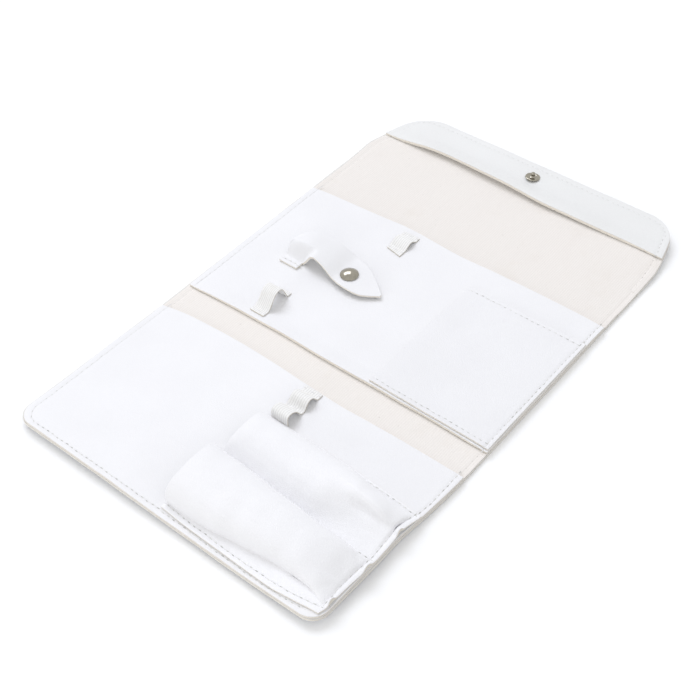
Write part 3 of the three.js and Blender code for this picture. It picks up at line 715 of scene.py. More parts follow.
def needle_finish(name):
    """Painted shade inside a needle hole, paler along the left side and the far end."""
    base = tuple(bpy.context.scene.case_colours.needle)
    n = Finish(name, 0.1, 0.9)
    tone = n.mixed(n.noise(2.5, 1).between(0.3, 0.7), base, shade(base, 1.7))
    inward = n.past("X", 8 - HALF, 12 - HALF)
    nearer = 1 - n.past("Y", 0, 70)
    far = n.past("Y", LENGTH - 30, LENGTH - 10)
    # deep is the share of the painted hole shade that shows: less along the left side and the far
    # end.
    deep = inward.larger(nearer * 0.75) * (1 - far * 0.75)
    n.set(Base_Color=n.mixed(deep, (0.78, 0.78, 0.77), tone))
    return n.material


def nickel_finish(name):
    """Polished dark nickel with faint turning lines and handling haze."""
    base = tuple(bpy.context.scene.case_colours.nickel)
    n = Finish(name, 0.5)
    haze = n.noise(2.6, 3, 0.6)
    n.set(
        Metallic=1.0, Base_Color=n.mixed(haze.between(0.35, 0.75), base, shade(base, 0.8)),
        Roughness=0.1 + 0.1 * haze, Normal=n.bump(n.noise(0.4), 0.006),
    )
    return n.material


FINISHES = dict.fromkeys(LEATHERS, leather_finish) | {
    "ribbed_lining": lining_finish, "woven_elastic": elastic_finish,
    "sewing_thread": thread_finish, "needle_mark": needle_finish, "dark_nickel": nickel_finish,
}


def finish(name):
    """The material of that name, made on first use."""
    return bpy.data.materials.get(name) or FINISHES[name](name)


# ---- The lengths that the case is made in, and how each moves ----
# Over a fold the leather lies between two bodies, in two lengths with one hinge line each.
SPANS = {
    # name: (start, end, bodies that it moves with, CAD sections that it stands for)
    "near_panel": (0.0, NEAR_FOLD_START, ("near_panel",), ("near_panel",)),
    "near_fold_a": (NEAR_FOLD_START, NEAR_FOLD_MIDDLE, ("near_panel", "near_fold"),
                    ("near_fold",)),
    "near_fold_b": (NEAR_FOLD_MIDDLE, NEAR_FOLD_END, ("near_fold", "middle_panel"),
                    ("near_fold",)),
    "middle_panel": (NEAR_FOLD_END, FAR_FOLD_START, ("middle_panel",), ("middle_panel",)),
    "far_fold_a": (FAR_FOLD_START, FAR_FOLD_MIDDLE, ("middle_panel", "far_fold"),
                   ("far_fold",)),
    "far_fold_b": (FAR_FOLD_MIDDLE, COVER_BEND_END, ("far_fold", "cover"),
                   ("far_fold", "cover")),
    "cover": (COVER_BEND_END, LENGTH, ("cover",), ("cover",)),
}
# Where the bends would start, past the facings' edges, which reach a little over the fold lines;
# attach() reads these but makes no bend.
STIFF = {"near_fold_a": (2.3, 0.0), "near_fold_b": (0.0, 1.0), "far_fold_a": (2.0, 0.0)}


def attach(obj, span):
    """Parents a piece to its length's body where the length has one; a piece of a length between
    two bodies is only baked where it lies.
    """
    start, end, bodies, _ = SPANS[span]
    if len(bodies) == 1:
        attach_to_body(obj, bodies[0])
        return
    near, far = STIFF.get(span, (0.0, 0.0))
    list(bodies)
    metres((0, start + near, 0))
    metres((0, end - far, 0))
    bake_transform(obj)


# ---- Surfaces ----
def softened(pairs, reach=2.2):
    """A table of values read off with its corners rounded."""
    step, margin = 0.4, 12
    places = np.arange(pairs[0][0] - margin, pairs[-1][0] + margin, step)
    values = blurred(read_off(pairs, places), round((reach / step) ** 2), 0)
    return lambda v: np.interp(v, places, values)


# Hand-cut edges of the facings: x, and how far the edge lies from its straight line.
NEAR_FACING_FAR_EDGE = softened([
    (-110, -3.6), (-106, -2.9), (-102, -1.9), (-98, -1.2), (-90, 0.1), (-80, 0.8), (-60, 1.8),
    (-48, 2.0), (-35, 1.8), (-20, 1.4), (0, 0.3), (20, -0.5), (30, -0.75), (45, -0.15),
    (70, 0.35), (110, 0.2)], 4)
MIDDLE_FACING_NEAR_EDGE = softened([
    (-110, -0.6), (-102, -0.8), (-95, -0.2), (-85, 0.2), (-70, 0.9), (-55, 1.15), (-40, 1.65),
    (-25, 1.4), (-10, 1.0), (20, 1.0), (35, 1.2), (50, 1.0), (65, 1.5), (80, 1.35), (95, 1.0),
    (110, 1.2)], 4)
MIDDLE_FACING_FAR_EDGE = softened([
    (-110, -3.8), (-106, -3.1), (-102, -2.5), (-98, -2.1), (-90, -1.5), (-80, -1.0),
    (-65, -0.2), (-50, 0.8), (-38, 1.9), (-25, 1.8), (-10, 0.7), (2, -0.1), (15, -0.1),
    (30, 0.7), (60, 1.0), (80, 0.9), (95, 0.7), (110, -0.2)], 4)
FLAP_FACING_NEAR_EDGE = softened([
    (-110, -0.6), (-104, -0.6), (-95, -0.7), (-85, -0.2), (-70, 0.7), (-55, 1.5), (-40, 1.1),
    (-25, 0.5), (-10, 0.0), (5, -0.6), (20, -1.5), (35, -1.2), (50, -1.0), (65, -0.5),
    (80, -0.1), (95, 0.0), (110, -0.4)], 4)
FLAP_STAND = softened([
    (-110, 0), (-104, 0.05), (-95, 0.4), (-85, 1.45), (-70, 3.2), (-55, 3.5), (-40, 3.65),
    (-25, 3.7), (-10, 3.8), (5, 3.15), (20, 2.6), (35, 2.1), (50, 1.9), (65, 1.35), (80, 1.05),
    (95, 0.5), (104, 0.2), (110, 0)], 4)


MIDDLE_BOW, MIDDLE_BOW_REACH, FLAP_BOW_REACH = 1.2, 12, 12.5
LEFT_SEAM, RIGHT_SEAM, MIDDLE_RIGHT_SEAM = -HALF + 5, HALF - 4, HALF - 3
COVER_SEAM, COVER_FAR_SEAM = 4.8, LENGTH - 4.1
NEAR_SEAM, NEAR_TURN = 2.9, 9.0  # the near seam's distance in, and the radius of its turn


def level(x, y):
    """The rise of a facing that lies flat."""
    return 0.0


def middle_bow(x, y):
    """How far the middle facing's near edge stands up between its sewn sides."""
    across = np.clip(np.cos(np.asarray(x, float) / MIDDLE_RIGHT_SEAM * math.pi / 2), 0, 1)
    fall = smooth(y, NEAR_FOLD_END, NEAR_FOLD_END + MIDDLE_BOW_REACH)
    return MIDDLE_BOW * np.sqrt(across) * (1 - fall)


def flap_bow(x, y):
    """How far the flap facing's near edge stands up, most of all left of the middle."""
    return FLAP_STAND(x) * (1 - smooth(y, FLAP_EDGE, FLAP_EDGE + FLAP_BOW_REACH))


def arc(x, y, radius, start, end, count=9):
    """Points round an arc, its angles in degrees from +x."""
    turn = np.radians(np.linspace(start, end, count))
    return [(x + radius * math.cos(t), y + radius * math.sin(t)) for t in turn]


NEAR_LINE = softened([
    (-98, 2.9), (-60, 2.9), (0, 3.0), (18, 2.8), (30, 2.3), (50, 2.0), (66, 1.7), (80, 1.9),
    (90, 2.3), (99, 3.8)], 3)
RIGHT_LINE = softened([
    (8, 103.6), (14, 103.7), (24, 103.2), (36, 103.8), (45, 104.9), (52, 104.3), (62, 103.7),
    (68, 103.3), (75, 104.4), (82, 105.4), (88, 106.3), (94, 106.6), (116, 106.2)], 2)


def near_seams():
    """The seams of the near panel: its left and near sides, and its right side."""
    turn = arc(LEFT_SEAM + NEAR_TURN, NEAR_SEAM + NEAR_TURN, NEAR_TURN, 180, 270)
    xs = np.arange(LEFT_SEAM + NEAR_TURN + 3, 99, 3.0)
    ys = np.arange(10, NEAR_FOLD_START, 2.6)
    left = [(LEFT_SEAM, NEAR_FOLD_START - 0.6), (LEFT_SEAM, NEAR_SEAM + NEAR_TURN)]
    return [
        np.array(left + turn + list(zip(xs, NEAR_LINE(xs)))),
        np.column_stack([RIGHT_LINE(ys), ys]),
    ]


def cover_seam():
    """The seam round the cover, from one side of the fold to the other."""
    rows = np.arange(COVER_BEND_END + 0.4, LENGTH - 16, 3.0)
    left = [(edge_x(-1, y) + COVER_SEAM, y) for y in rows]
    right = [(edge_x(1, y) - COVER_SEAM, y) for y in rows[::-1]]
    far, left_x, right_x = COVER_FAR_SEAM, left[-1][0], right[0][0]
    turn = curve_through(
        [*left[-2:], (left_x + 3.2, far - 6.4), (left_x + 9.5, far - 1.2),
         (left_x + 17, far), (left_x + 30, far)], 20)
    back = curve_through(
        [(right_x - 27, far), (right_x - 15, far), (right_x - 8, far - 1.2),
         (right_x - 2.4, far - 6.2), *right[:2]], 20)
    return np.array([*left[:-1], *turn[1:], *back[:-1], *right[1:]])


def side_seams(y0, y1, right=MIDDLE_RIGHT_SEAM):
    """Straight seams along the left side and the right one."""
    return [np.array([(x, y0), (x, y1)]) for x in (LEFT_SEAM, right)]


def span_seams(span, margin=0.0):
    """The seams through every layer of a length of the case."""
    if span == "near_panel":
        return near_seams()
    if span == "cover":
        return [cover_seam()]
    y0, y1, _, _ = SPANS[span]
    return side_seams(y0 + margin, y1 - margin)


# ---- The tube piece ----
TUBE_MOUTH, TUBE_RIGHT = (corner.x for corner in box("tube_pockets"))
TUBE_LENGTH = TUBE_RIGHT - TUBE_MOUTH
TUBE_FLAT = (POCKET[0] + POCKET[1]) / 2
NEAR_HEIGHT, FAR_HEIGHT = 15.5, 10.0

# The piece's near edge, its three seams and its far edge: y at x.
TUBE_LINES = {
    "edge": softened([(0, 4.3), (18, 3.3), (46, 2.8), (63, 2.5), (79, 2.1), (95, 3.7),
                      (104, 5)], 3),
    "near": softened([(0, 7.2), (18, 6.2), (40, 5.4), (60, 5.2), (76, 5.3), (86, 5.9), (95, 7),
                      (104, 8.6)], 3),
    "middle": softened([(0, 48.9), (20, 47.7), (45, 45.9), (73, 44.2), (95, 43.9), (104, 44.4)], 4),
    "far": softened([(0, 84.4), (34, 84.2), (60, 83.4), (92, 81.5), (104, 80.3)], 4),
}
# Sections of the near tube, and of the far one along it and where it closes: share of the
# way from seam to seam, and share of the height.
NEAR_SHAPE = [
    (0, 0), (-0.004, 0.11), (-0.007, 0.25), (0.0, 0.4), (0.02, 0.53), (0.055, 0.65),
    (0.11, 0.78), (0.19, 0.865), (0.287, 0.92), (0.469, 0.98), (0.62, 1), (0.74, 0.985),
    (0.84, 0.92), (0.92, 0.78), (0.97, 0.55), (0.995, 0.26), (1, 0),
]
FAR_SHAPE = [
    (0, 0), (0.04, 0.12), (0.09, 0.3), (0.2, 0.62), (0.32, 0.82), (0.44, 0.94), (0.58, 1),
    (0.7, 0.99), (0.82, 0.92), (0.92, 0.74), (0.975, 0.42), (1, 0),
]
FAR_CLOSING = [
    (0, 0), (0.12, 0.08), (0.25, 0.17), (0.4, 0.27), (0.52, 0.38), (0.575, 0.56), (0.6, 0.82),
    (0.645, 1), (0.74, 0.92), (0.86, 0.6), (0.94, 0.26), (1, 0),
]
# Along the tubes: the share of the full height, and how far the near wall stands off its seam.
NEAR_SWELL = softened([
    (0, 1), (25, 0.98), (50, 0.93), (68, 0.84), (82, 0.68), (93, 0.44), (100, 0.2), (104.5, 0)], 2)
FAR_SWELL = softened([
    (0, 0.69), (20, 0.74), (40, 0.82), (60, 0.93), (75, 1), (86, 0.93), (94, 0.72),
    (100, 0.46), (104.5, 0.16)], 2)
NEAR_FOOT = softened([
    (0, 0.6), (12, 1.0), (20, 1.6), (30, 2.7), (40, 4.6), (52, 6.0), (62, 7.4), (72, 8.0),
    (84, 7.5), (92, 6.4), (98, 4.4), (103, 0.9)], 3)
TUBE_EDGE_RIGHT = softened([
    (4, 103.9), (10, 106), (16, 105.8), (27, 106.3), (36, 107.2), (44, 107.5), (51, 107.5),
    (58, 107.2), (65, 106.7), (72, 107.2), (84, 108.7)], 2)
# Where the piece puckers at its closed edge: y, half the width and the height.
PUCKERS = ((13.5, 2.3, 2.3), (39.5, 2.7, 2.2), (66.0, 2.0, 1.9))


def tube_lines(x):
    """y of the tube piece's near edge, its three seams and its far edge at x."""
    at = {key: line(x) for key, line in TUBE_LINES.items()}
    return at | {"end": at["far"] + 1.3}


def tube_section(x):
    """The tube piece's section at x, as points of y, z, before it is softened."""
    at, flat, foot = tube_lines(x), TUBE_FLAT, NEAR_FOOT(x)
    rise1, rise2 = NEAR_HEIGHT * NEAR_SWELL(x), FAR_HEIGHT * FAR_SWELL(x)
    near0, near1 = at["near"] + 1.0 + foot, at["middle"] - 0.7
    far0, far1 = at["middle"] + 0.7, at["far"] - 0.7
    low = min(0.09 * foot, 0.08 * rise1)
    points = [(at["edge"], flat), (at["near"], flat), (at["near"] + 0.5 + 0.5 * foot, flat + low)]
    points += [(near0 + s * (near1 - near0), flat + low * (1 - s) + t * (rise1 - low))
               for s, t in NEAR_SHAPE]
    closing = smooth(x, 55, 90)
    for (s1, t1), (s2, t2) in zip(FAR_SHAPE, FAR_CLOSING):
        s, t = s1 + (s2 - s1) * closing, t1 + (t2 - t1) * closing
        points.append((far0 + s * (far1 - far0), flat + t * rise2))
    return np.array(points + [(at["far"] + 0.3, flat), (at["end"], flat)])


def tube_rows():
    """Places along the tube piece's section, closer together beside its cut edges."""
    spans = np.linalg.norm(np.diff(tube_section(20), axis=0), axis=1)
    at = [0.0]
    for k, span in enumerate(spans):
        count = max(1, round(span / 0.62))
        at += [k + (i + 1) / count for i in range(count)]
    for end, sign, span in ((0, 1, spans[0]), (len(spans), -1, spans[-1])):
        at += [end + sign * d / span for d in CUT_STEPS if d < span * 0.8]
    return np.unique(np.round(at, 4))


def tube_seams():
    """The tube piece's own seams, as seen from above."""
    xs = np.linspace(TUBE_MOUTH + 0.6, RIGHT_LINE(44) - 0.6, 50)
    near, middle, far = (
        np.column_stack([xs, tube_lines(xs)[key]]) for key in ("near", "middle", "far"))
    return [near[:-1], middle, far]


@functools.lru_cache(1)
def tube_surface():
    """The middle surface of the tube piece, as rows of points along +x."""
    across = TUBE_MOUTH + stations(0, TUBE_LENGTH, 0.75)
    sections = np.array([tube_section(x) for x in across])
    at, last = tube_rows(), sections.shape[1] - 1
    rows = np.array([
        [np.interp(at, np.arange(last + 1), values) for values in section.T]
        for section in sections
    ]).transpose(2, 0, 1)
    keep = np.minimum(smooth(at, 0.6, 1.4), 1 - smooth(at, last - 1.4, last - 0.6))
    rows = rows + (blurred(blurred(rows, 3, 0), 3, 1) - rows) * keep[:, None, None]

    y, z = rows[..., 0], rows[..., 1]
    right = np.minimum(TUBE_EDGE_RIGHT(y[:, -1]), edge_x(1, y[:, -1]) - 0.15)[:, None]
    share = (across - TUBE_MOUTH) / TUBE_LENGTH
    x = TUBE_MOUTH + share[None, :] * (right - TUBE_MOUTH)
    seams = [*tube_seams(), near_seams()[1]]
    rise = (z - TUBE_FLAT) * smooth(distance_to(x, y, seams), 0.1, 1.0)
    middle = creased(np.stack([x, y, TUBE_FLAT + rise + ground(x, y)], 2), rise)
    edge = smooth(x - RIGHT_LINE(y), 0.6, right - RIGHT_LINE(y))
    pucker = sum(height * bell(y, place, half) for place, half, height in PUCKERS)
    middle[..., 2] += pucker * edge - groove(x, y, seams, 0.2)
    return middle


def creased(middle, rise):
    """The slight hollows and wrinkles where the tubes are gathered at their closed end."""
    x, y = middle[..., 0], middle[..., 1]
    push = 0.2 * wander(x, y, 9, 61)
    # Wrinkles fan out from where each tube closes.
    for hub_x, hub_y, reach, depth, count in ((107, 26, 26, 0.16, 9), (106, 58, 22, 0.2, 11)):
        angle = np.arctan2(y - hub_y, hub_x - x)
        far = np.hypot(x - hub_x, y - hub_y)
        fan = np.sin(angle * count + 1.3 * wander(x, y, 12, 62))
        push += depth * fan * bell(far, reach * 0.6, reach * 0.45)
    free = smooth(rise, 0.4, 3.0)
    return middle + normals(middle) * (push * free)[:, :, None]


def tube_thickness(middle):
    """The tube piece's thickness: doubled over where it puckers."""
    x, y = middle[..., 0], middle[..., 1]
    edge = smooth(x - RIGHT_LINE(y), 0.8, x[:, -1:] - RIGHT_LINE(y))
    extra = sum(bell(y, place, half) for place, half, _ in PUCKERS)
    return (POCKET[1] - POCKET[0] + 1.5 * extra * edge)[:, :, None]


def on_tube_piece(x, y):
    """1 on the tube piece, 0 off it."""
    at = tube_lines(np.asarray(x, float))
    along = smooth(y, at["edge"] - 0.1, at["edge"] + 0.3)
    along = along * (1 - smooth(y, at["end"] - 0.3, at["end"] + 0.1))
    return along * smooth(x, TUBE_MOUTH - 0.3, TUBE_MOUTH + 0.3)


@functools.lru_cache(1)
def tube_places():
    """A search tree over the sewn parts of the tube piece, and the heights there."""
    points = tube_surface().reshape(-1, 3)
    points = points[points[:, 2] < POCKET[1] + NEAR_LIFT + 2.6]
    tree = KDTree(len(points))
    for k, (x, y, _) in enumerate(points):
        tree.insert((x, y, 0), k)
    tree.balance()
    return tree, points[:, 2]


# ---- Heights along the seams ----
SUNK = 0.2  # how far the thread lies below the leather beside it


def near_top(x, y):
    """Height of the near panel's upper surface along its stitching."""
    tree, heights = tube_places()
    made = FACING[1] + ground(x, y) - SUNK
    for k in np.flatnonzero(on_tube_piece(x, y) > 0.5):
        found = [(heights[index], 1 / (gap + 0.1)) for _, index, gap in
                 tree.find_n((x[k], y[k], 0), 4)]
        total = sum(weight for _, weight in found)
        made[k] = sum(h * weight for h, weight in found) / total + (POCKET[1] - POCKET[0]) / 2
    return made


CARD_LOW, CARD_HIGH = box("card_pocket")
CARD_SEAM, CARD_BOW, CARD_MOUTH = 3.0, 0.55, 18
CARD_SEAMS = (CARD_LOW.y + CARD_SEAM, CARD_HIGH.y - CARD_SEAM)


def card_ride(x, y):
    """How far the card pocket follows the facing's bow and stands off at its mouth."""
    mouth = 1 - smooth(x, CARD_LOW.x, CARD_LOW.x + CARD_MOUTH)
    share = np.clip((y - CARD_SEAMS[0]) / (CARD_SEAMS[1] - CARD_SEAMS[0]), 0, 1)
    return middle_bow(x, y) + CARD_BOW * mouth * np.sin(math.pi * share)


def on_card(x, y):
    """1 on the card pocket, 0 off it."""
    along = smooth(y, CARD_LOW.y - 0.5, CARD_LOW.y + 0.3)
    along = along * (1 - smooth(y, CARD_HIGH.y - 0.3, CARD_HIGH.y + 0.5))
    return along * smooth(x, CARD_LOW.x - 0.5, CARD_LOW.x + 0.3)


def middle_top(x, y):
    """Height along the middle panel's seams: on its facing and over the card pocket."""
    on = on_card(x, y)
    layer = FACING[1] + (POCKET[1] - FACING[1]) * on
    return layer + ground(x, y) + card_ride(x, y) * on + middle_bow(x, y) * (1 - on) - SUNK


def cover_top(x, y):
    """Height along the cover's seam: on the lining, then up on the flap's facing."""
    up = smooth(y, FLAP_EDGE - 1.2, FLAP_EDGE + 0.2)
    layer = LINING[1] + (FACING[1] + flap_bow(x, np.maximum(y, FLAP_EDGE)) - LINING[1]) * up
    return layer + ground(x, y) - 0.17 - 0.1 * up


def lining_top(x, y):
    """Height along the seams through the bare lining."""
    return LINING[1] + ground(x, y) - 0.1


def under_top(x, y):
    """Height of the thread in the outer side's seams."""
    return ground(x, y) + 0.12


# ---- Making pieces ----
def piece(mesh, material, nodes, span):
    """A visible piece that stands for CAD nodes, hides them, and is attached to a length of the
    case as attach() does.
    """
    obj = add_object(mesh.name, mesh)
    obj.data.materials.append(finish(material))
    attach(obj, span)
    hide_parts(*nodes)
    return obj


def declare_sheet(length, rests_on, area=None):
    length / MM


def outline_area(y0, y1):
    """Flat area of a length of the case, in square metres."""
    ys = np.linspace(y0, y1, 200)
    return float((edge_x(1, ys) - edge_x(-1, ys)).mean()) * (y1 - y0) / MM**2


# ---- Flat pieces ----
EDGE_REACH = 22.0  # how far in from a hand-cut edge the leather follows it
STUD_HOLE = 2.1  # radius of the hole that the closing stud enters


def plate(name, y0, y1, layer, step, seed, cut=(True, True), cols=(), rows=(), rise=level,
          seams=(), under_seams=(), trim=(0.0, 0.0), edges=(None, None), hole=None, **options):
    """A flat length of the case between two heights, cut to its outline.

    edges say how far the near and the far edge lie from their straight lines at x. A hole is
    given by its place and radius.
    """
    ys = stations(y0, y1, step, cut, rows)
    across = stations(-HALF, HALF, step, (True, True), cols)
    share = (across + HALF) / WIDTH
    wobble = 0.16 * wander(ys, 0 * ys + seed * 50, 16, seed) * smooth(ys, 0, 14)
    left = edge_x(-1, ys) + trim[0] + wobble
    right = edge_x(1, ys) - trim[1] + 0.8 * wobble[::-1]
    x = left[:, None] + share[None, :] * (right - left)[:, None]
    y = np.repeat(ys[:, None], len(share), axis=1)
    for edge, at in zip(edges, (y0, y1)):
        if edge:
            y = y + edge(x) * (1 - smooth(np.abs(y - at), 0, EDGE_REACH))
    end = 1 - smooth(y, 0, 5) + smooth(y, LENGTH - 5, LENGTH)
    y = y + end * 0.14 * wander(x, 0 * x + seed * 30, 18, seed + 9)
    risen = rise(x, y)
    base = ground(x, y) + risen
    top = layer[1] + base - (groove(x, y, seams) if seams else 0)
    low = layer[0] + base + (groove(x, y, under_seams, 0.2) if under_seams else 0)
    low = low - 0.8 * smooth(risen, 0.2, 1.2)
    present = None
    if hole:
        middle_x, middle_y = ((v[:-1, :-1] + v[1:, 1:]) / 2 for v in (x, y))
        present = np.hypot(middle_x - hole[0], middle_y - hole[1]) > hole[2]
    return slab(
        name, np.stack([x, y, top], 2), np.stack([x, y, low], 2), present=present,
        joints=(not cut[0], not cut[1]), seed=seed, **options,
    )


class CASE_OT_outer_leather(bpy.types.Operator):
    """Make the outer leather in the lengths that fold"""

    bl_idname = "case.outer_leather"
    bl_label = "Outer leather"

    def execute(self, context):
        stud_x, stud_y = centre("outer_socket")
        close = np.arange(-STUD_HOLE - 0.4, STUD_HOLE + 0.5, 0.4)
        for span, (y0, y1, _, nodes) in SPANS.items():
            holed = y0 < stud_y < y1
            mesh = plate(
                "outer_leather_" + span, y0, y1, SHELL, 2.0, 11, cut=(y0 == 0, y1 == LENGTH),
                cols=(LEFT_SEAM, *(stud_x + close), RIGHT_SEAM),
                rows=stud_y + close if holed else (), under_seams=span_seams(span),
                trim=(-0.5, 0.0), hole=(stud_x, stud_y, STUD_HOLE) if holed else None,
                ragged=0.03, flesh="top",
            )
            shells = ["shell_" + node for node in nodes]
            obj = piece(mesh, "white_leather", shells, span)
            declare_sheet(y1 - y0, [], outline_area(y0, y1))
        return {"FINISHED"}


class CASE_OT_lining(bpy.types.Operator):
    """Make the ribbed lining in the lengths that fold"""

    bl_idname = "case.lining"
    bl_label = "Lining"

    def execute(self, context):
        for span, (y0, y1, _, nodes) in SPANS.items():
            mesh = plate(
                "lining_cloth_" + span, y0, y1, LINING, 2.0, 12, cut=(y0 == 0, y1 == LENGTH),
                cols=(LEFT_SEAM, RIGHT_SEAM),
                seams=[] if span == "middle_panel" else span_seams(span),
                trim=(0.9, 0.15), ragged=0.1, flesh=None,
            )
            linings = ["lining_" + node for node in nodes]
            obj = piece(mesh, "ribbed_lining", linings, span)
            declare_sheet(y1 - y0, ["outer_leather_" + span],
                          outline_area(y0, y1))
        return {"FINISHED"}


class CASE_OT_facings(bpy.types.Operator):
    """Make the leather facings of the near panel, the middle panel and the flap"""

    bl_idname = "case.facings"
    bl_label = "Facings"

    def execute(self, context):
        for node, span, material, y0, y1, options in (
            ("facing_near_panel", "near_panel", "white_leather", 0, NEAR_FOLD_START - 0.15, dict(
                seed=21, cols=(LEFT_SEAM, RIGHT_SEAM), rows=(NEAR_SEAM,), trim=(1.5, 0.4),
                seams=[*near_seams(), *tube_seams()], edges=(None, NEAR_FACING_FAR_EDGE))),
            ("facing_middle_panel", "middle_panel", "middle_leather", NEAR_FOLD_END + 0.15,
             MIDDLE_END, dict(
                seed=22, cols=(LEFT_SEAM, MIDDLE_RIGHT_SEAM), rise=middle_bow, trim=(1.5, 0.3),
                seams=side_seams(NEAR_FOLD_END, MIDDLE_END),
                edges=(MIDDLE_FACING_NEAR_EDGE, MIDDLE_FACING_FAR_EDGE))),
            ("facing_flap", "cover", "flap_leather", FLAP_EDGE, LENGTH, dict(
                seed=23, cols=(-95, 100), rows=(COVER_FAR_SEAM,), rise=flap_bow,
                trim=(0.4, 0.4), seams=[cover_seam()], edges=(FLAP_FACING_NEAR_EDGE, None))),
        ):
            mesh = plate("leather_" + node, y0, y1, FACING, 1.2, **options)
            obj = piece(mesh, material, [node], span)
            declare_sheet(y1 - y0, ["lining_cloth_" + span],
                          outline_area(y0, y1))
        return {"FINISHED"}


# ---- Pockets ----
class CASE_OT_tube_pockets(bpy.types.Operator):
    """Make the leather piece that is sewn down in three lines as two tubes"""

    bl_idname = "case.tube_pockets"
    bl_label = "Tubular pockets"

    def execute(self, context):
        middle = tube_surface()
        mesh = bent_slab("leather_tube_pockets", middle, tube_thickness(middle), ragged=0.03,
                         seed=31)
        obj = piece(mesh, "pebbled_leather", ["tube_pockets"], "near_panel")
        arcs = np.linalg.norm(np.diff(middle, axis=0), axis=2).sum(0)
        declare_sheet(float(arcs.max()),
                      ["leather_facing_near_panel"], float(arcs.mean()) * TUBE_LENGTH / MM**2)
        return {"FINISHED"}


class CASE_OT_card_pocket(bpy.types.Operator):
    """Make the flat card pocket on the right of the middle panel"""

    bl_idname = "case.card_pocket"
    bl_label = "Card pocket"

    def execute(self, context):
        low, high = CARD_LOW, CARD_HIGH
        seams = [np.array([(low.x, y), (high.x, y)]) for y in CARD_SEAMS]
        seams.append(np.array([(MIDDLE_RIGHT_SEAM, low.y), (MIDDLE_RIGHT_SEAM, high.y)]))
        x, y = np.meshgrid(stations(low.x, high.x, 1.2, fine=(MIDDLE_RIGHT_SEAM,)),
                           stations(low.y, high.y, 1.2, fine=CARD_SEAMS))
        base = ground(x, y) + card_ride(x, y) + 0.08 * (wander(x, y, 17, 41) + 0.6)
        top, under = POCKET[1] + base - groove(x, y, seams), POCKET[0] + base
        x = x + 0.12 * wander(y, 0 * y, 14, 42) * (1 - smooth(x, low.x, low.x + 9))
        y = y + 0.12 * wander(x, 0 * x, 17, 43) * (1 - smooth(y, low.y, low.y + 9))
        mesh = slab("leather_card_pocket", np.stack([x, y, top], 2), np.stack([x, y, under], 2),
                    seed=32)
        obj = piece(mesh, "card_leather", ["card_pocket"], "middle_panel")
        declare_sheet(high.y - low.y, ["leather_facing_middle_panel"])
        return {"FINISHED"}


# ---- Elastic loops ----
DOUBLE_LOOP = [
    (0, 0.2), (0, 2.2), (0.3, 4.3), (1.2, 6.0), (3, 6.7), (5.2, 6.3), (7.6, 4.8), (9.3, 2.6),
    (10.6, 0.8), (11.8, 0.05), (13.2, 0.05), (14.6, 0.95), (16.3, 3.0), (18.2, 4.4), (20, 4.6),
    (21.8, 3.8), (23.4, 1.8), (24.8, 0.25), (26, 0), (29.2, 0),
]
LOOP_A = [
    (0, 0), (4.2, 0), (6.6, 1.8), (8.4, 3.8), (10.5, 6.5), (12.9, 8.7), (15.5, 9.5),
    (17.8, 8.7), (19.4, 6.2), (20.8, 2.9), (21.8, 0.5), (22.8, 0), (25.4, 0),
]
LOOP_B = [
    (0, 0), (4.4, 0), (6, 0.8), (8, 1.8), (10.4, 2.5), (12.6, 2.1), (14.4, 0.9), (15.6, 0.15),
    (16.8, 0), (19.4, 0),
]
ELASTIC_THICKNESS = 0.8


class Loop(NamedTuple):
    """An elastic loop, its lengths taken along it from its near end."""

    node: str
    outline: list  # points along it and up
    start: float  # y of its near end
    span: str
    skew: float  # how far its near end is turned
    rise: Callable
    seams: tuple


def elastic_loops():
    double_start = tube_lines(centre("double_loop")[0])["end"] + 0.5
    return (
        Loop("double_loop", DOUBLE_LOOP, double_start, "near_panel", 0.0, level, (12.5, 27.6)),
        Loop("loop_a", LOOP_A, NEAR_FOLD_END + 5.0, "middle_panel", 0.0, middle_bow, (2, 24)),
        Loop("loop_b", LOOP_B, NEAR_FOLD_END + 97.2, "middle_panel", 2.4, middle_bow, (2.6, 18)),
    )


class CASE_OT_elastic_loops(bpy.types.Operator):
    """Make the ribbed elastic loops"""

    bl_idname = "case.elastic_loops"
    bl_label = "Elastic loops"

    def execute(self, context):
        ribs = context.scene.case_sizes.elastic_ribs
        share = np.linspace(0, 1, ribs * 8 + 1)[None, :]
        wave = np.abs(np.cos(math.pi * share * ribs + math.pi / 2)) ** 0.7
        thickness = ELASTIC_THICKNESS * (0.72 + 0.38 * wave)[..., None]
        for k, loop in enumerate(elastic_loops()):
            low, high = box(loop.node)
            middle = self.surface(loop, low.x, high.x - low.x, share, 70 + k)
            along = from_start(np.linalg.norm(np.diff(middle, axis=0), axis=2).mean(1))
            shape = middle.shape[:2]
            mesh = bent_slab(
                "elastic_" + loop.node, middle, thickness, radius=0.15, ragged=0.1, flesh=None,
                seed=50 + k, extras={"along": np.broadcast_to(along[:, None], shape),
                                     "valley": np.broadcast_to(1 - wave, shape)},
            )
            obj = piece(mesh, "woven_elastic", [loop.node], loop.span)
            declare_sheet(float(along[-1]),
                          ["leather_facing_" + loop.span])
        return {"FINISHED"}

    def surface(self, loop, left, width, share, seed):
        """A loop's middle surface, as rows of points along +x."""
        rest = FACING[1] + 0.06 + ELASTIC_THICKNESS / 2
        line = curve_through([(loop.start + y, rest + z) for y, z in loop.outline], 110)
        y, z = line[:, :1], np.maximum(line[:, 1:], rest)
        off = z - rest
        x = left + width / 2 + (share - 0.5) * width * (1 - 0.05 * smooth(off, 0.5, 6))
        y = y + loop.skew * (0.5 - share) * np.clip(1 - (y - loop.start) / 6, 0, 1)
        z = z + ground(x, y) + loop.rise(x, y) + 0.12 * wander(x, y, 5, seed) * smooth(off, 0.5, 4)
        return np.stack([x, y, z], 2)


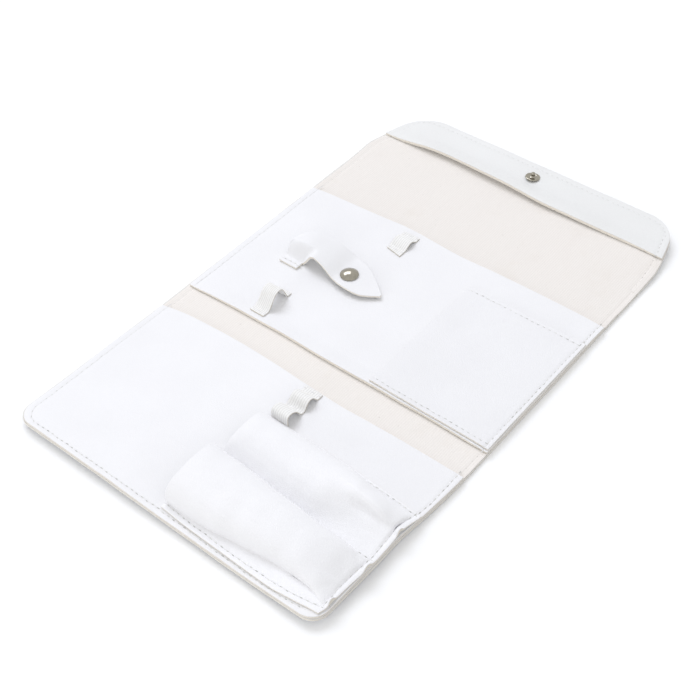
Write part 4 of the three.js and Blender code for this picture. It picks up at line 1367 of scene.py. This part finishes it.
# ---- Strap ----
# Lengths along the strap are taken from the left end of its sewn foot.
FOOT_LOW, FOOT_HIGH = box("strap_foot")
FOOT_WIDTH, FOOT_SEAM = FOOT_HIGH.x - FOOT_LOW.x, FOOT_HIGH.y - 1.4
STRAP_LEFT, STRAP_BASE = FOOT_LOW.x + 0.2, FOOT_HIGH.y + 1.3
STRAP_REACH, STRAP_WIDTH, STRAP_FLAT, STRAP_THICKNESS = 70.5, 22, 31.5, 1.5
STRAP_LOW, STRAP_HUMP = 6.9, 7.8  # height over the middle panel, and how far the hump adds to it
STRAP_BEND = 5.0  # how far past the foot the strap bends
FOOT_HEIGHT = FACING[1] + 0.05 + STRAP_THICKNESS / 2  # of the foot's middle surface
NEAR_EDGE_LINE = [
    (0, 0), (13, 0), (17, 1.0), (23, 1.6), (30, 0.6), (38, -1.4), (46, -3), (54, -3.2),
    (60, -2.2), (66, 1.6), (70.5, 5.6),
]
FAR_EDGE_LINE = [
    (0, 7), (0.6, 11.5), (2.5, 16), (6, 19.3), (11, 21.3), (19, 22.6), (29, 23), (39, 22.6),
    (46, 21.3), (54, 18), (61, 13.7), (66.5, 9.6), (70.5, 6.4),
]
HUMP_LINE = [
    (0, 0.6), (3, 0.78), (7, 0.93), (12.5, 0.95), (18.5, 0.83), (24.5, 0.69), (30.5, 0.5),
    (35.5, 0.24), (38.5, 0.09), (41, 0.05), (50, 0.04), (54, 0.0), (60, -0.07), (70.5, -0.16),
]


class CASE_OT_strap(bpy.types.Operator):
    """Make the humped snap strap and its sewn foot as one piece of leather"""

    bl_idname = "case.strap"
    bl_label = "Strap"

    def execute(self, context):
        u = stations(0, STRAP_REACH, 0.8, fine=(FOOT_WIDTH,))
        near_y, far_y = self.edges(u)
        foot = self.foot(u)
        middle = np.concatenate([foot, self.body(u, near_y, far_y)])
        x, y, z = middle[..., 0], middle[..., 1], middle[..., 2]
        z += ground(x, y)
        z += 0.12 * wander(x, y, 11, 81) * smooth(z, 6, 9)
        seam = [np.array([(FOOT_LOW.x, FOOT_SEAM), (FOOT_HIGH.x, FOOT_SEAM)])]
        z -= groove(x, y, seam, 0.15) * (y < FOOT_HIGH.y + 1)
        present = np.ones((len(middle) - 1, len(u) - 1), bool)
        present[:len(foot), u[1:] > FOOT_WIDTH + 0.01] = False
        mesh = bent_slab("leather_strap", middle, STRAP_THICKNESS, len(foot), present=present,
                         seed=33)
        obj = add_object(mesh.name, mesh)
        obj.data.materials.append(finish("middle_leather"))
        metres((0, FOOT_HIGH.y, 0))
        metres((0, FOOT_HIGH.y + STRAP_BEND, 0))
        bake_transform(obj)
        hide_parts("strap", "strap_foot")
        widths = (far_y - near_y)[1:] + (far_y - near_y)[:-1]
        area = float((widths / 2 * np.diff(u)).sum()) + FOOT_WIDTH * (STRAP_BASE - FOOT_LOW.y)
        declare_sheet(STRAP_FLAT, ["leather_facing_middle_panel"],
                      area / MM**2)
        return {"FINISHED"}

    def edges(self, u):
        """y of the strap's near and far edge. The far one stays sharp at its two ends."""
        near, far = softened(NEAR_EDGE_LINE), softened(FAR_EDGE_LINE)
        near_y = np.where(u < FOOT_WIDTH, 0, near(u) * smooth(u, 12, 17))
        sharp = read_off(FAR_EDGE_LINE, u)
        far_y = sharp + (far(u) - sharp) * smooth(u, 4, 14) * (1 - smooth(u, 60, 68))
        return STRAP_BASE + near_y, STRAP_BASE + far_y

    def foot(self, u):
        """Points of the foot, which is no longer than its own width along the strap."""
        y = stations(FOOT_LOW.y, STRAP_BASE, 0.7, (True, False))[:-1]
        x, y = np.meshgrid(STRAP_LEFT + np.minimum(u, FOOT_WIDTH), y)
        return np.stack([x, y, np.full(x.shape, FOOT_HEIGHT)], 2)

    def body(self, u, near_y, far_y):
        """Points of the strap beyond its foot, from which it climbs."""
        v = (stations(0, STRAP_WIDTH, 0.8) / STRAP_WIDTH)[:, None]
        y = near_y + v * (far_y - near_y)
        full = STRAP_LOW + STRAP_HUMP * softened(HUMP_LINE)(u)
        free = full - 0.08 * (full - STRAP_LOW) * smooth(v, 0.6, 1)
        sewn = 1 - smooth(u, FOOT_WIDTH - 0.4, FOOT_WIDTH + 8)
        climb = smooth(y - near_y, 0.1, 8.2)
        z = FOOT_HEIGHT + (free - FOOT_HEIGHT) * (1 - sewn * (1 - climb))
        return np.stack([np.broadcast_to(STRAP_LEFT + u, y.shape), y, z], 2)


# ---- Stitching ----
JOG = (0.00012, 0.00008, 0.0)  # how far a stitch strays from its place, in metres


def along_seam_tree():
    """Small rounded bodies at an even pitch along paths: stitches and needle marks."""
    found = bpy.data.node_groups.get("along_seam")
    if found:
        return found
    tree = bpy.data.node_groups.new("along_seam", "GeometryNodeTree")
    face = tree.interface
    face.new_socket("Path", in_out="INPUT", socket_type="NodeSocketGeometry")
    kinds = dict.fromkeys(("Pitch", "Length", "Width", "Height", "Shift", "Stray"), "Float")
    for name, kind in (kinds | {"Seed": "Int", "Material": "Material"}).items():
        face.new_socket(name, in_out="INPUT", socket_type="NodeSocket" + kind)
    face.new_socket("Bodies", in_out="OUTPUT", socket_type="NodeSocketGeometry")
    n = Nodes(tree)
    given = {s.name: Wire(n, s) for s in tree.nodes.new("NodeGroupInput").outputs if s.name}
    curve = n.add("GeometryNodeMeshToCurve", None, {0: given["Path"]})
    curve = n.add("GeometryNodeResampleCurve", {"mode": "LENGTH"},
                  {"Curve": curve, "Length": given["Pitch"]})
    body = n.add("GeometryNodeMeshUVSphere", None, {"Segments": 8, "Rings": 5, "Radius": 0.5})
    size = n.add("ShaderNodeCombineXYZ", None,
                 {"X": given["Length"], "Y": given["Width"], "Z": given["Height"]})
    body = n.add("GeometryNodeTransform", None, {"Geometry": body, "Scale": size})

    # Each body lies along its path, its own up turned to the path's, and strays a little.
    tangent = n.add("GeometryNodeInputTangent")
    up = n.add("GeometryNodeInputNamedAttribute", {"data_type": "FLOAT_VECTOR"}, {"Name": "up"})
    upright = n.add("FunctionNodeAlignRotationToVector", {"axis": "Z"}, {"Vector": up})
    facing = n.add("FunctionNodeAlignRotationToVector", {"axis": "X", "pivot_axis": "Z"},
                   {"Rotation": upright, "Vector": tangent})
    stray = n.add("FunctionNodeRandomValue", {"data_type": "FLOAT"},
                  {2: given["Stray"] * -1.0, 3: given["Stray"], "Seed": given["Seed"]}, 1)
    spin = n.add("ShaderNodeCombineXYZ", None, {"Z": stray})
    spin = n.add("FunctionNodeEulerToRotation", None, {0: spin})
    facing = n.add("FunctionNodeRotateRotation", {"rotation_space": "LOCAL"},
                   {"Rotation": facing, "Rotate By": spin})
    placed = n.add("GeometryNodeInstanceOnPoints", None,
                   {"Points": curve, "Instance": body, "Rotation": facing})
    jog = n.add("FunctionNodeRandomValue", {"data_type": "FLOAT_VECTOR"},
                {0: tuple(-v for v in JOG), 1: JOG, "Seed": given["Seed"] + 7})
    move = n.add("ShaderNodeCombineXYZ", None, {"X": given["Shift"]})
    move = n.add("ShaderNodeVectorMath", {"operation": "ADD"}, {0: move, 1: jog})
    placed = n.add("GeometryNodeTranslateInstances", None,
                   {"Instances": placed, "Translation": move})
    real = n.add("GeometryNodeRealizeInstances", None, {"Geometry": placed})
    real = n.add("GeometryNodeSetShadeSmooth", None, {"Geometry": real})
    real = n.add("GeometryNodeSetMaterial", None,
                 {"Geometry": real, "Material": given["Material"]})
    n.fill(tree.nodes.new("NodeGroupOutput"), {"Bodies": real})
    return tree


def along_paths(name, paths, seed, material, stray, **sizes):
    """An object with the tree's bodies along paths of (points, up), sizes in millimetres."""
    points, edges, ups = [], [], []
    for path, up in paths:
        first = len(points)
        points += list(metres(path))
        ups += [up] * len(path)
        edges += [(first + k, first + k + 1) for k in range(len(path) - 1)]
    mesh = bpy.data.meshes.new(name)
    mesh.from_pydata(points, edges, [])
    layer = mesh.attributes.new("up", "FLOAT_VECTOR", "POINT")
    layer.data.foreach_set("vector", np.array(ups, np.float32).ravel())
    obj = add_object(name, mesh)
    tree = along_seam_tree()
    names = {s.name: s.identifier for s in tree.interface.items_tree if s.in_out == "INPUT"}
    modifier = obj.modifiers.new("along_seam", "NODES")
    modifier.node_group = tree
    for key, value in sizes.items():
        modifier[names[key.capitalize()]] = value / MM
    modifier[names["Stray"]] = stray
    modifier[names["Seed"]] = seed
    modifier[names["Material"]] = finish(material)
    graph = bpy.context.evaluated_depsgraph_get()
    made = bpy.data.meshes.new_from_object(
        obj.evaluated_get(graph), preserve_all_data_layers=True, depsgraph=graph)
    obj.modifiers.clear()
    obj.data = made
    made.name = name
    return obj


UP, DOWN = (0.0, 0.0, 1.0), (0.0, 0.0, -1.0)
SEAM_END = 0.8  # how far a seam stops before the end of its length of the case


def seam_on(path, surface, up=UP, spacing=1.5):
    """A seam's points laid on a surface, and the way that its stitches face."""
    path = resampled(path, spacing)
    return np.column_stack([path, surface(path[:, 0], path[:, 1])]), up


def across_seam(left, right, y, rise):
    """A short seam along x, at a height above the ground."""
    return seam_on([(left, y), (right, y)], lambda x, y: rise(x, y) + ground(x, y), spacing=1)


class CASE_OT_stitching(bpy.types.Operator):
    """Make the stitches and needle marks of every seam, in the lengths that fold"""

    bl_idname = "case.stitching"
    bl_label = "Stitching"

    def seams(self):
        """Seams of each length: on leather above, on elastic, on the lining, on the outside."""
        upper, bands, lined, outer = ({span: [] for span in SPANS} for _ in range(4))
        for span, (y0, y1, _, _) in SPANS.items():
            outer[span] = [seam_on(p, under_top, DOWN) for p in span_seams(span, SEAM_END)]
            if "fold" in span:
                right = RIGHT_SEAM if span.startswith("near") else HALF - COVER_SEAM
                lined[span] = [
                    seam_on(p, lining_top) for p in side_seams(y0 + SEAM_END, y1 - SEAM_END, right)]

        upper["near_panel"] = [seam_on(p, near_top) for p in [*near_seams(), *tube_seams()]]
        middle = side_seams(NEAR_FOLD_END + 0.9, MIDDLE_END - 0.9)
        middle += [np.array([(CARD_LOW.x + 1.4, y), (MIDDLE_RIGHT_SEAM - 2.5, y)])
                   for y in CARD_SEAMS]
        upper["middle_panel"] = [seam_on(p, middle_top) for p in middle]
        foot_top = FACING[1] + STRAP_THICKNESS - 0.05
        upper["middle_panel"].append(
            across_seam(FOOT_LOW.x + 1, FOOT_HIGH.x - 1, FOOT_SEAM, lambda x, y: foot_top))

        elastic_top = FACING[1] + ELASTIC_THICKNESS + 0.1
        for loop in elastic_loops():
            low, high = box(loop.node)
            bands[loop.span] += [
                across_seam(low.x + 0.9, high.x - 0.9, loop.start + gone,
                            lambda x, y: elastic_top + loop.rise(x, y))
                for gone in loop.seams
            ]

        cover, _ = seam_on(cover_seam(), cover_top)
        first, last = np.flatnonzero(cover[:, 1] > FLAP_EDGE + 0.6)[[0, -1]]
        lined["cover"] = [(cover[:first - 1], UP), (cover[last + 2:], UP)]
        upper["cover"] = [(cover[first:last + 1], UP)]
        return upper, bands, lined, outer

    def execute(self, context):
        sizes = context.scene.case_sizes
        pitch = sizes.stitch_pitch
        upper, bands, lined, outer = self.seams()
        for k, span in enumerate(SPANS):
            sewn = upper[span] + outer[span]
            stitches = along_paths(
                "stitches_" + span, sewn + bands[span], 100 + k, "sewing_thread", 0.06,
                pitch=pitch, length=sizes.stitch_length, width=sizes.stitch_width, height=0.42)
            marks = along_paths(
                "needle_marks_" + span, sewn, 200 + k, "needle_mark", 0.12, pitch=pitch,
                length=sizes.needle_length, width=0.65, height=0.56, shift=pitch / 2)
            made = [stitches, marks]
            if lined[span]:
                made.append(along_paths(
                    "lining_needle_marks_" + span, lined[span], 300 + k, "needle_mark", 0.4,
                    pitch=pitch, length=0.7, width=0.4, height=0.3, shift=pitch / 2))
            for obj in made:
                attach(obj, span)
            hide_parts(*self.threads(SPANS[span][3]))
        return {"FINISHED"}

    def threads(self, bodies):
        """The CAD threads on some bodies."""
        return [name for name, node in frame["nodes"].items()
                if name.startswith("thread_") and node["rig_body"] in bodies]


# ---- Snaps ----
# Profiles are points of radius and height that start and end on the axis.
TURNED_SIDES = 72
CLOSING_STUD = (
    (0, 0), (4.7, 0), (4.9, 0.2), (4.9, 0.62), (4.5, 0.9), (3.1, 0.9), (2.6, 0.72),
    (2.0, 0.78), (1.35, 1.2), (1.2, 1.5), (1.2, 2.1), (1.55, 2.6), (1.55, 3.1), (1.1, 3.65),
    (0, 3.75),
)


def spun(name, profile, place, tilt):
    """A turned piece at a place, tilted about the x axis."""
    points, faces, rings = [], [], []
    turns = [2 * math.pi * k / TURNED_SIDES for k in range(TURNED_SIDES)]
    for radius, height in profile:
        first = len(points)
        if radius < 1e-6:
            points.append((0, 0, height))
        else:
            points += [(radius * math.cos(t), radius * math.sin(t), height) for t in turns]
        rings.append(range(first, len(points)))
    for lower, upper in zip(rings, rings[1:]):
        for k in range(TURNED_SIDES):
            j = (k + 1) % TURNED_SIDES
            if len(lower) == 1:
                faces.append((lower[0], upper[j], upper[k]))
            elif len(upper) == 1:
                faces.append((lower[k], lower[j], upper[0]))
            else:
                faces.append((lower[k], lower[j], upper[j], upper[k]))
    c, s = math.cos(tilt), math.sin(tilt)
    placed = [(x + place[0], y * c - z * s + place[1], y * s + z * c + place[2])
              for x, y, z in points]
    mesh = bpy.data.meshes.new(name)
    mesh.from_pydata([tuple(p) for p in metres(placed)], [], faces)
    mesh.shade_smooth()
    obj = add_object(name, mesh)
    obj.data.materials.append(finish("dark_nickel"))
    return obj


def rounded(points, radius=0.12, steps=3):
    """A profile with its corners rounded, apart from its two ends."""
    made = [points[0]]
    for before, at, after in zip(points, points[1:], points[2:]):
        before, at, after = (np.array(p, float) for p in (before, at, after))
        back, on = before - at, after - at
        lengths = np.linalg.norm(back), np.linalg.norm(on)
        cut = min(radius, 0.45 * lengths[0], 0.45 * lengths[1])
        start, end = at + back / lengths[0] * cut, at + on / lengths[1] * cut
        for t in np.linspace(0, 1, steps + 1):
            made.append(tuple((1 - t) ** 2 * start + 2 * t * (1 - t) * at + t**2 * end))
    return made + [points[-1]]


def domed_cap(radius, height):
    """A shallow dome over a short turned-in rim."""
    rim, reach = 0.5, radius - 0.05
    points = rounded([(0, 0), (radius - 0.35, 0), (radius, 0.3), (radius, rim),
                      (radius - 0.25, rim + 0.3)], 0.14)[:-1]
    top = height - rim
    ball = (reach**2 + top**2) / (2 * top)
    for turn in np.linspace(math.asin(reach / ball) * 0.97, 0, 18):
        points.append((ball * math.sin(turn), height - ball * (1 - math.cos(turn))))
    return points


def socket_ring(outer, inner, height):
    return rounded([(inner, 0), (outer - 0.1, 0), (outer, 0.2), (outer - 0.15, height),
                    (inner + 0.5, height), (inner, height - 0.25), (inner, 0)], 0.1)


def strap_stud(height):
    """A post on a flange, with a head that the strap's socket grips."""
    return rounded([
        (0, 0), (1.1, 0), (1.1, height - 2.2), (4.6, height - 2.2), (4.6, height - 1.75),
        (1.25, height - 1.75), (1.25, height - 1.1), (1.5, height - 0.8), (1.5, height - 0.35),
        (1.05, height), (0, height)])


def slope_at(y):
    """Angle at which the case rises at y."""
    return math.atan(float(lift(y + 0.1) - lift(y - 0.1)) / 0.2)


class CASE_OT_snaps(bpy.types.Operator):
    """Make the strap snap and the closing snap in nickel"""

    bl_idname = "case.snaps"
    bl_label = "Snaps"

    def execute(self, context):
        for node, name, profile in (
            ("strap_cap", "domed_strap_cap", lambda height: domed_cap(5.75, height)),
            ("strap_socket", "strap_snap_socket", lambda height: socket_ring(4.6, 2.2, height)),
            ("strap_stud", "strap_snap_stud", strap_stud),
        ):
            low, high = box(node)
            self.fit(node, name, profile(high.z - low.z), low.z, 0.0)
        # The closing snap lies on the leather: how far each part stands over the ground there,
        # and how far it is turned from the leather's own slope.
        for node, name, profile, stand, turned in (
            ("flap_stud", "closing_snap_stud", rounded(CLOSING_STUD, 0.14), FACING[1] + 0.1, -0.17),
            ("flap_cap", "closing_snap_cap", [(r, -h) for r, h in domed_cap(6.2, 2.4)][::-1],
             0.05, 0.0),
            ("outer_socket", "closing_snap_socket", socket_ring(5.5, 2.2, 1.0), -1.05, 0.0),
        ):
            x, y = centre(node)
            self.fit(node, name, profile, float(ground(x, y)) + stand, slope_at(y) + turned)
        return {"FINISHED"}

    def fit(self, node, name, profile, z, tilt):
        obj = spun(name, profile, (*centre(node), z), tilt)
        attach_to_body(obj, frame["nodes"][node]["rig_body"])
        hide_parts(node)


# ---- Floor, light and camera, in the frame's metres ----
FLOOR_SIZE, FLOOR_HEIGHT, FLOOR_GLOW = 6.0, -0.0002, 0.075
CAMERA_PLACE = (0.3359, -0.4111, 0.5291)
CAMERA_AHEAD = (-0.4539, 0.5264, -0.7190)
CAMERA_UP = (-0.4381, 0.5708, 0.6945)
CAMERA_LENS, CAMERA_SENSOR = 65.4, 36
LAMPS = {
    # lamp: size, place, direction of its long side, tint
    "key": ((3.0, 1.9), (-2.3, 1.25, 3.4), (0.76, 0.65, 0), (0.97, 1.0, 1.1)),
    "fill": ((0.9, 0.4), (-0.2, -1.4, 0.3), (1, 0, 0), (1.0, 1.0, 1.0)),
}


def own_rays(n):
    """1 for rays that see a background directly, by gloss or through glass."""
    direct, gloss, glass = (
        n.add("ShaderNodeLightPath", output=f"Is {kind} Ray")
        for kind in ("Camera", "Glossy", "Transmission"))
    return direct.larger(gloss).larger(glass)


def put_object(scene, name, data, place, *axes):
    """A lamp or camera at a place, with its x, y and z along the given axes."""
    obj = bpy.data.objects.new(name, data)
    matrix = Matrix(axes).transposed().to_4x4()
    matrix.translation = Vector(place)
    obj.matrix_world = matrix
    scene.collection.objects.link(obj)
    return obj


class CASE_OT_stage(bpy.types.Operator):
    """Set up the pale floor, the soft light and the camera"""

    bl_idname = "case.stage"
    bl_label = "Stage"

    def execute(self, context):
        scene, light = context.scene, context.scene.case_light
        self.floor(scene)
        for name, values in LAMPS.items():
            self.lamp(scene, name, getattr(light, name), *values)
        self.world(scene, light.surroundings)
        self.camera(scene)
        scene.view_settings.view_transform = "Standard"
        return {"FINISHED"}

    def floor(self, scene):
        mesh = bpy.data.meshes.new("floor")
        corners = [(-1, -1), (1, -1), (1, 1), (-1, 1)]
        mesh.from_pydata([(x * FLOOR_SIZE, y * FLOOR_SIZE, FLOOR_HEIGHT) for x, y in corners],
                         [], [(0, 1, 2, 3)])
        n = Finish("pale_paper", 0.0, 1.0)
        colour = tuple(scene.case_colours.floor)
        n.set(
            Base_Color=n.mixed(n.noise(60), colour, shade(colour, 0.995)),
            Emission_Color=(1, 1, 1, 1), Emission_Strength=own_rays(n) * FLOOR_GLOW,
        )
        mesh.materials.append(n.material)
        add_object("floor", mesh)

    def lamp(self, scene, name, power, size, place, along, tint):
        """A rectangular lamp that faces the case, its long side set along a direction."""
        lamp = bpy.data.lights.new(name, "AREA")
        lamp.shape = "RECTANGLE"
        lamp.size, lamp.size_y = size
        lamp.energy, lamp.color = power, tint
        facing = Vector(place).normalized()
        side = facing.cross(Vector(along)).normalized()
        put_object(scene, name, lamp, place, side.cross(facing), side, facing)

    def world(self, scene, surroundings):
        """Even white light; the background itself is white."""
        world = bpy.data.worlds.new("white_studio")
        world.use_nodes = True
        n = Nodes(world.node_tree)
        strength = own_rays(n) * (1 - surroundings) + surroundings
        n.fill(n.tree.nodes["Background"], {"Color": (1, 1, 1, 1), "Strength": strength})
        scene.world = world

    def camera(self, scene):
        camera = bpy.data.cameras.new("camera")
        camera.lens, camera.sensor_width = CAMERA_LENS, CAMERA_SENSOR
        ahead = Vector(CAMERA_AHEAD).normalized()
        right = ahead.cross(Vector(CAMERA_UP)).normalized()
        scene.camera = put_object(
            scene, "camera", camera, CAMERA_PLACE, right, right.cross(ahead), -ahead)


class CASE_PT_panel(bpy.types.Panel):
    """Buttons and values for the jewelry case"""

    bl_label = "Jewelry Case"
    bl_space_type = "VIEW_3D"
    bl_region_type = "UI"
    bl_category = "Jewelry Case"

    def draw(self, context):
        layout, scene = self.layout, context.scene
        for group in (scene.case_sizes, scene.case_colours, scene.case_light):
            column = layout.box().column()
            for key in group.__annotations__:
                column.prop(group, key)
        for maker in MAKERS:
            layout.operator(maker.bl_idname)


MAKERS = (
    CASE_OT_stage, CASE_OT_outer_leather, CASE_OT_lining, CASE_OT_facings,
    CASE_OT_tube_pockets, CASE_OT_card_pocket, CASE_OT_elastic_loops, CASE_OT_strap,
    CASE_OT_stitching, CASE_OT_snaps,
)
GROUPS = {"case_sizes": CaseSizes, "case_colours": CaseColours, "case_light": CaseLight}


def register():
    for cls in (*GROUPS.values(), *MAKERS, CASE_PT_panel):
        bpy.utils.register_class(cls)
    for name, group in GROUPS.items():
        setattr(bpy.types.Scene, name, bpy.props.PointerProperty(type=group))


def unregister():
    for name in GROUPS:
        delattr(bpy.types.Scene, name)
    for cls in (CASE_PT_panel, *reversed(MAKERS), *reversed(list(GROUPS.values()))):
        bpy.utils.unregister_class(cls)


def main():
    register()
    for maker in MAKERS:
        family, action = maker.bl_idname.split(".")
        getattr(getattr(bpy.ops, family), action)()


if __name__ == "__main__":
    main()
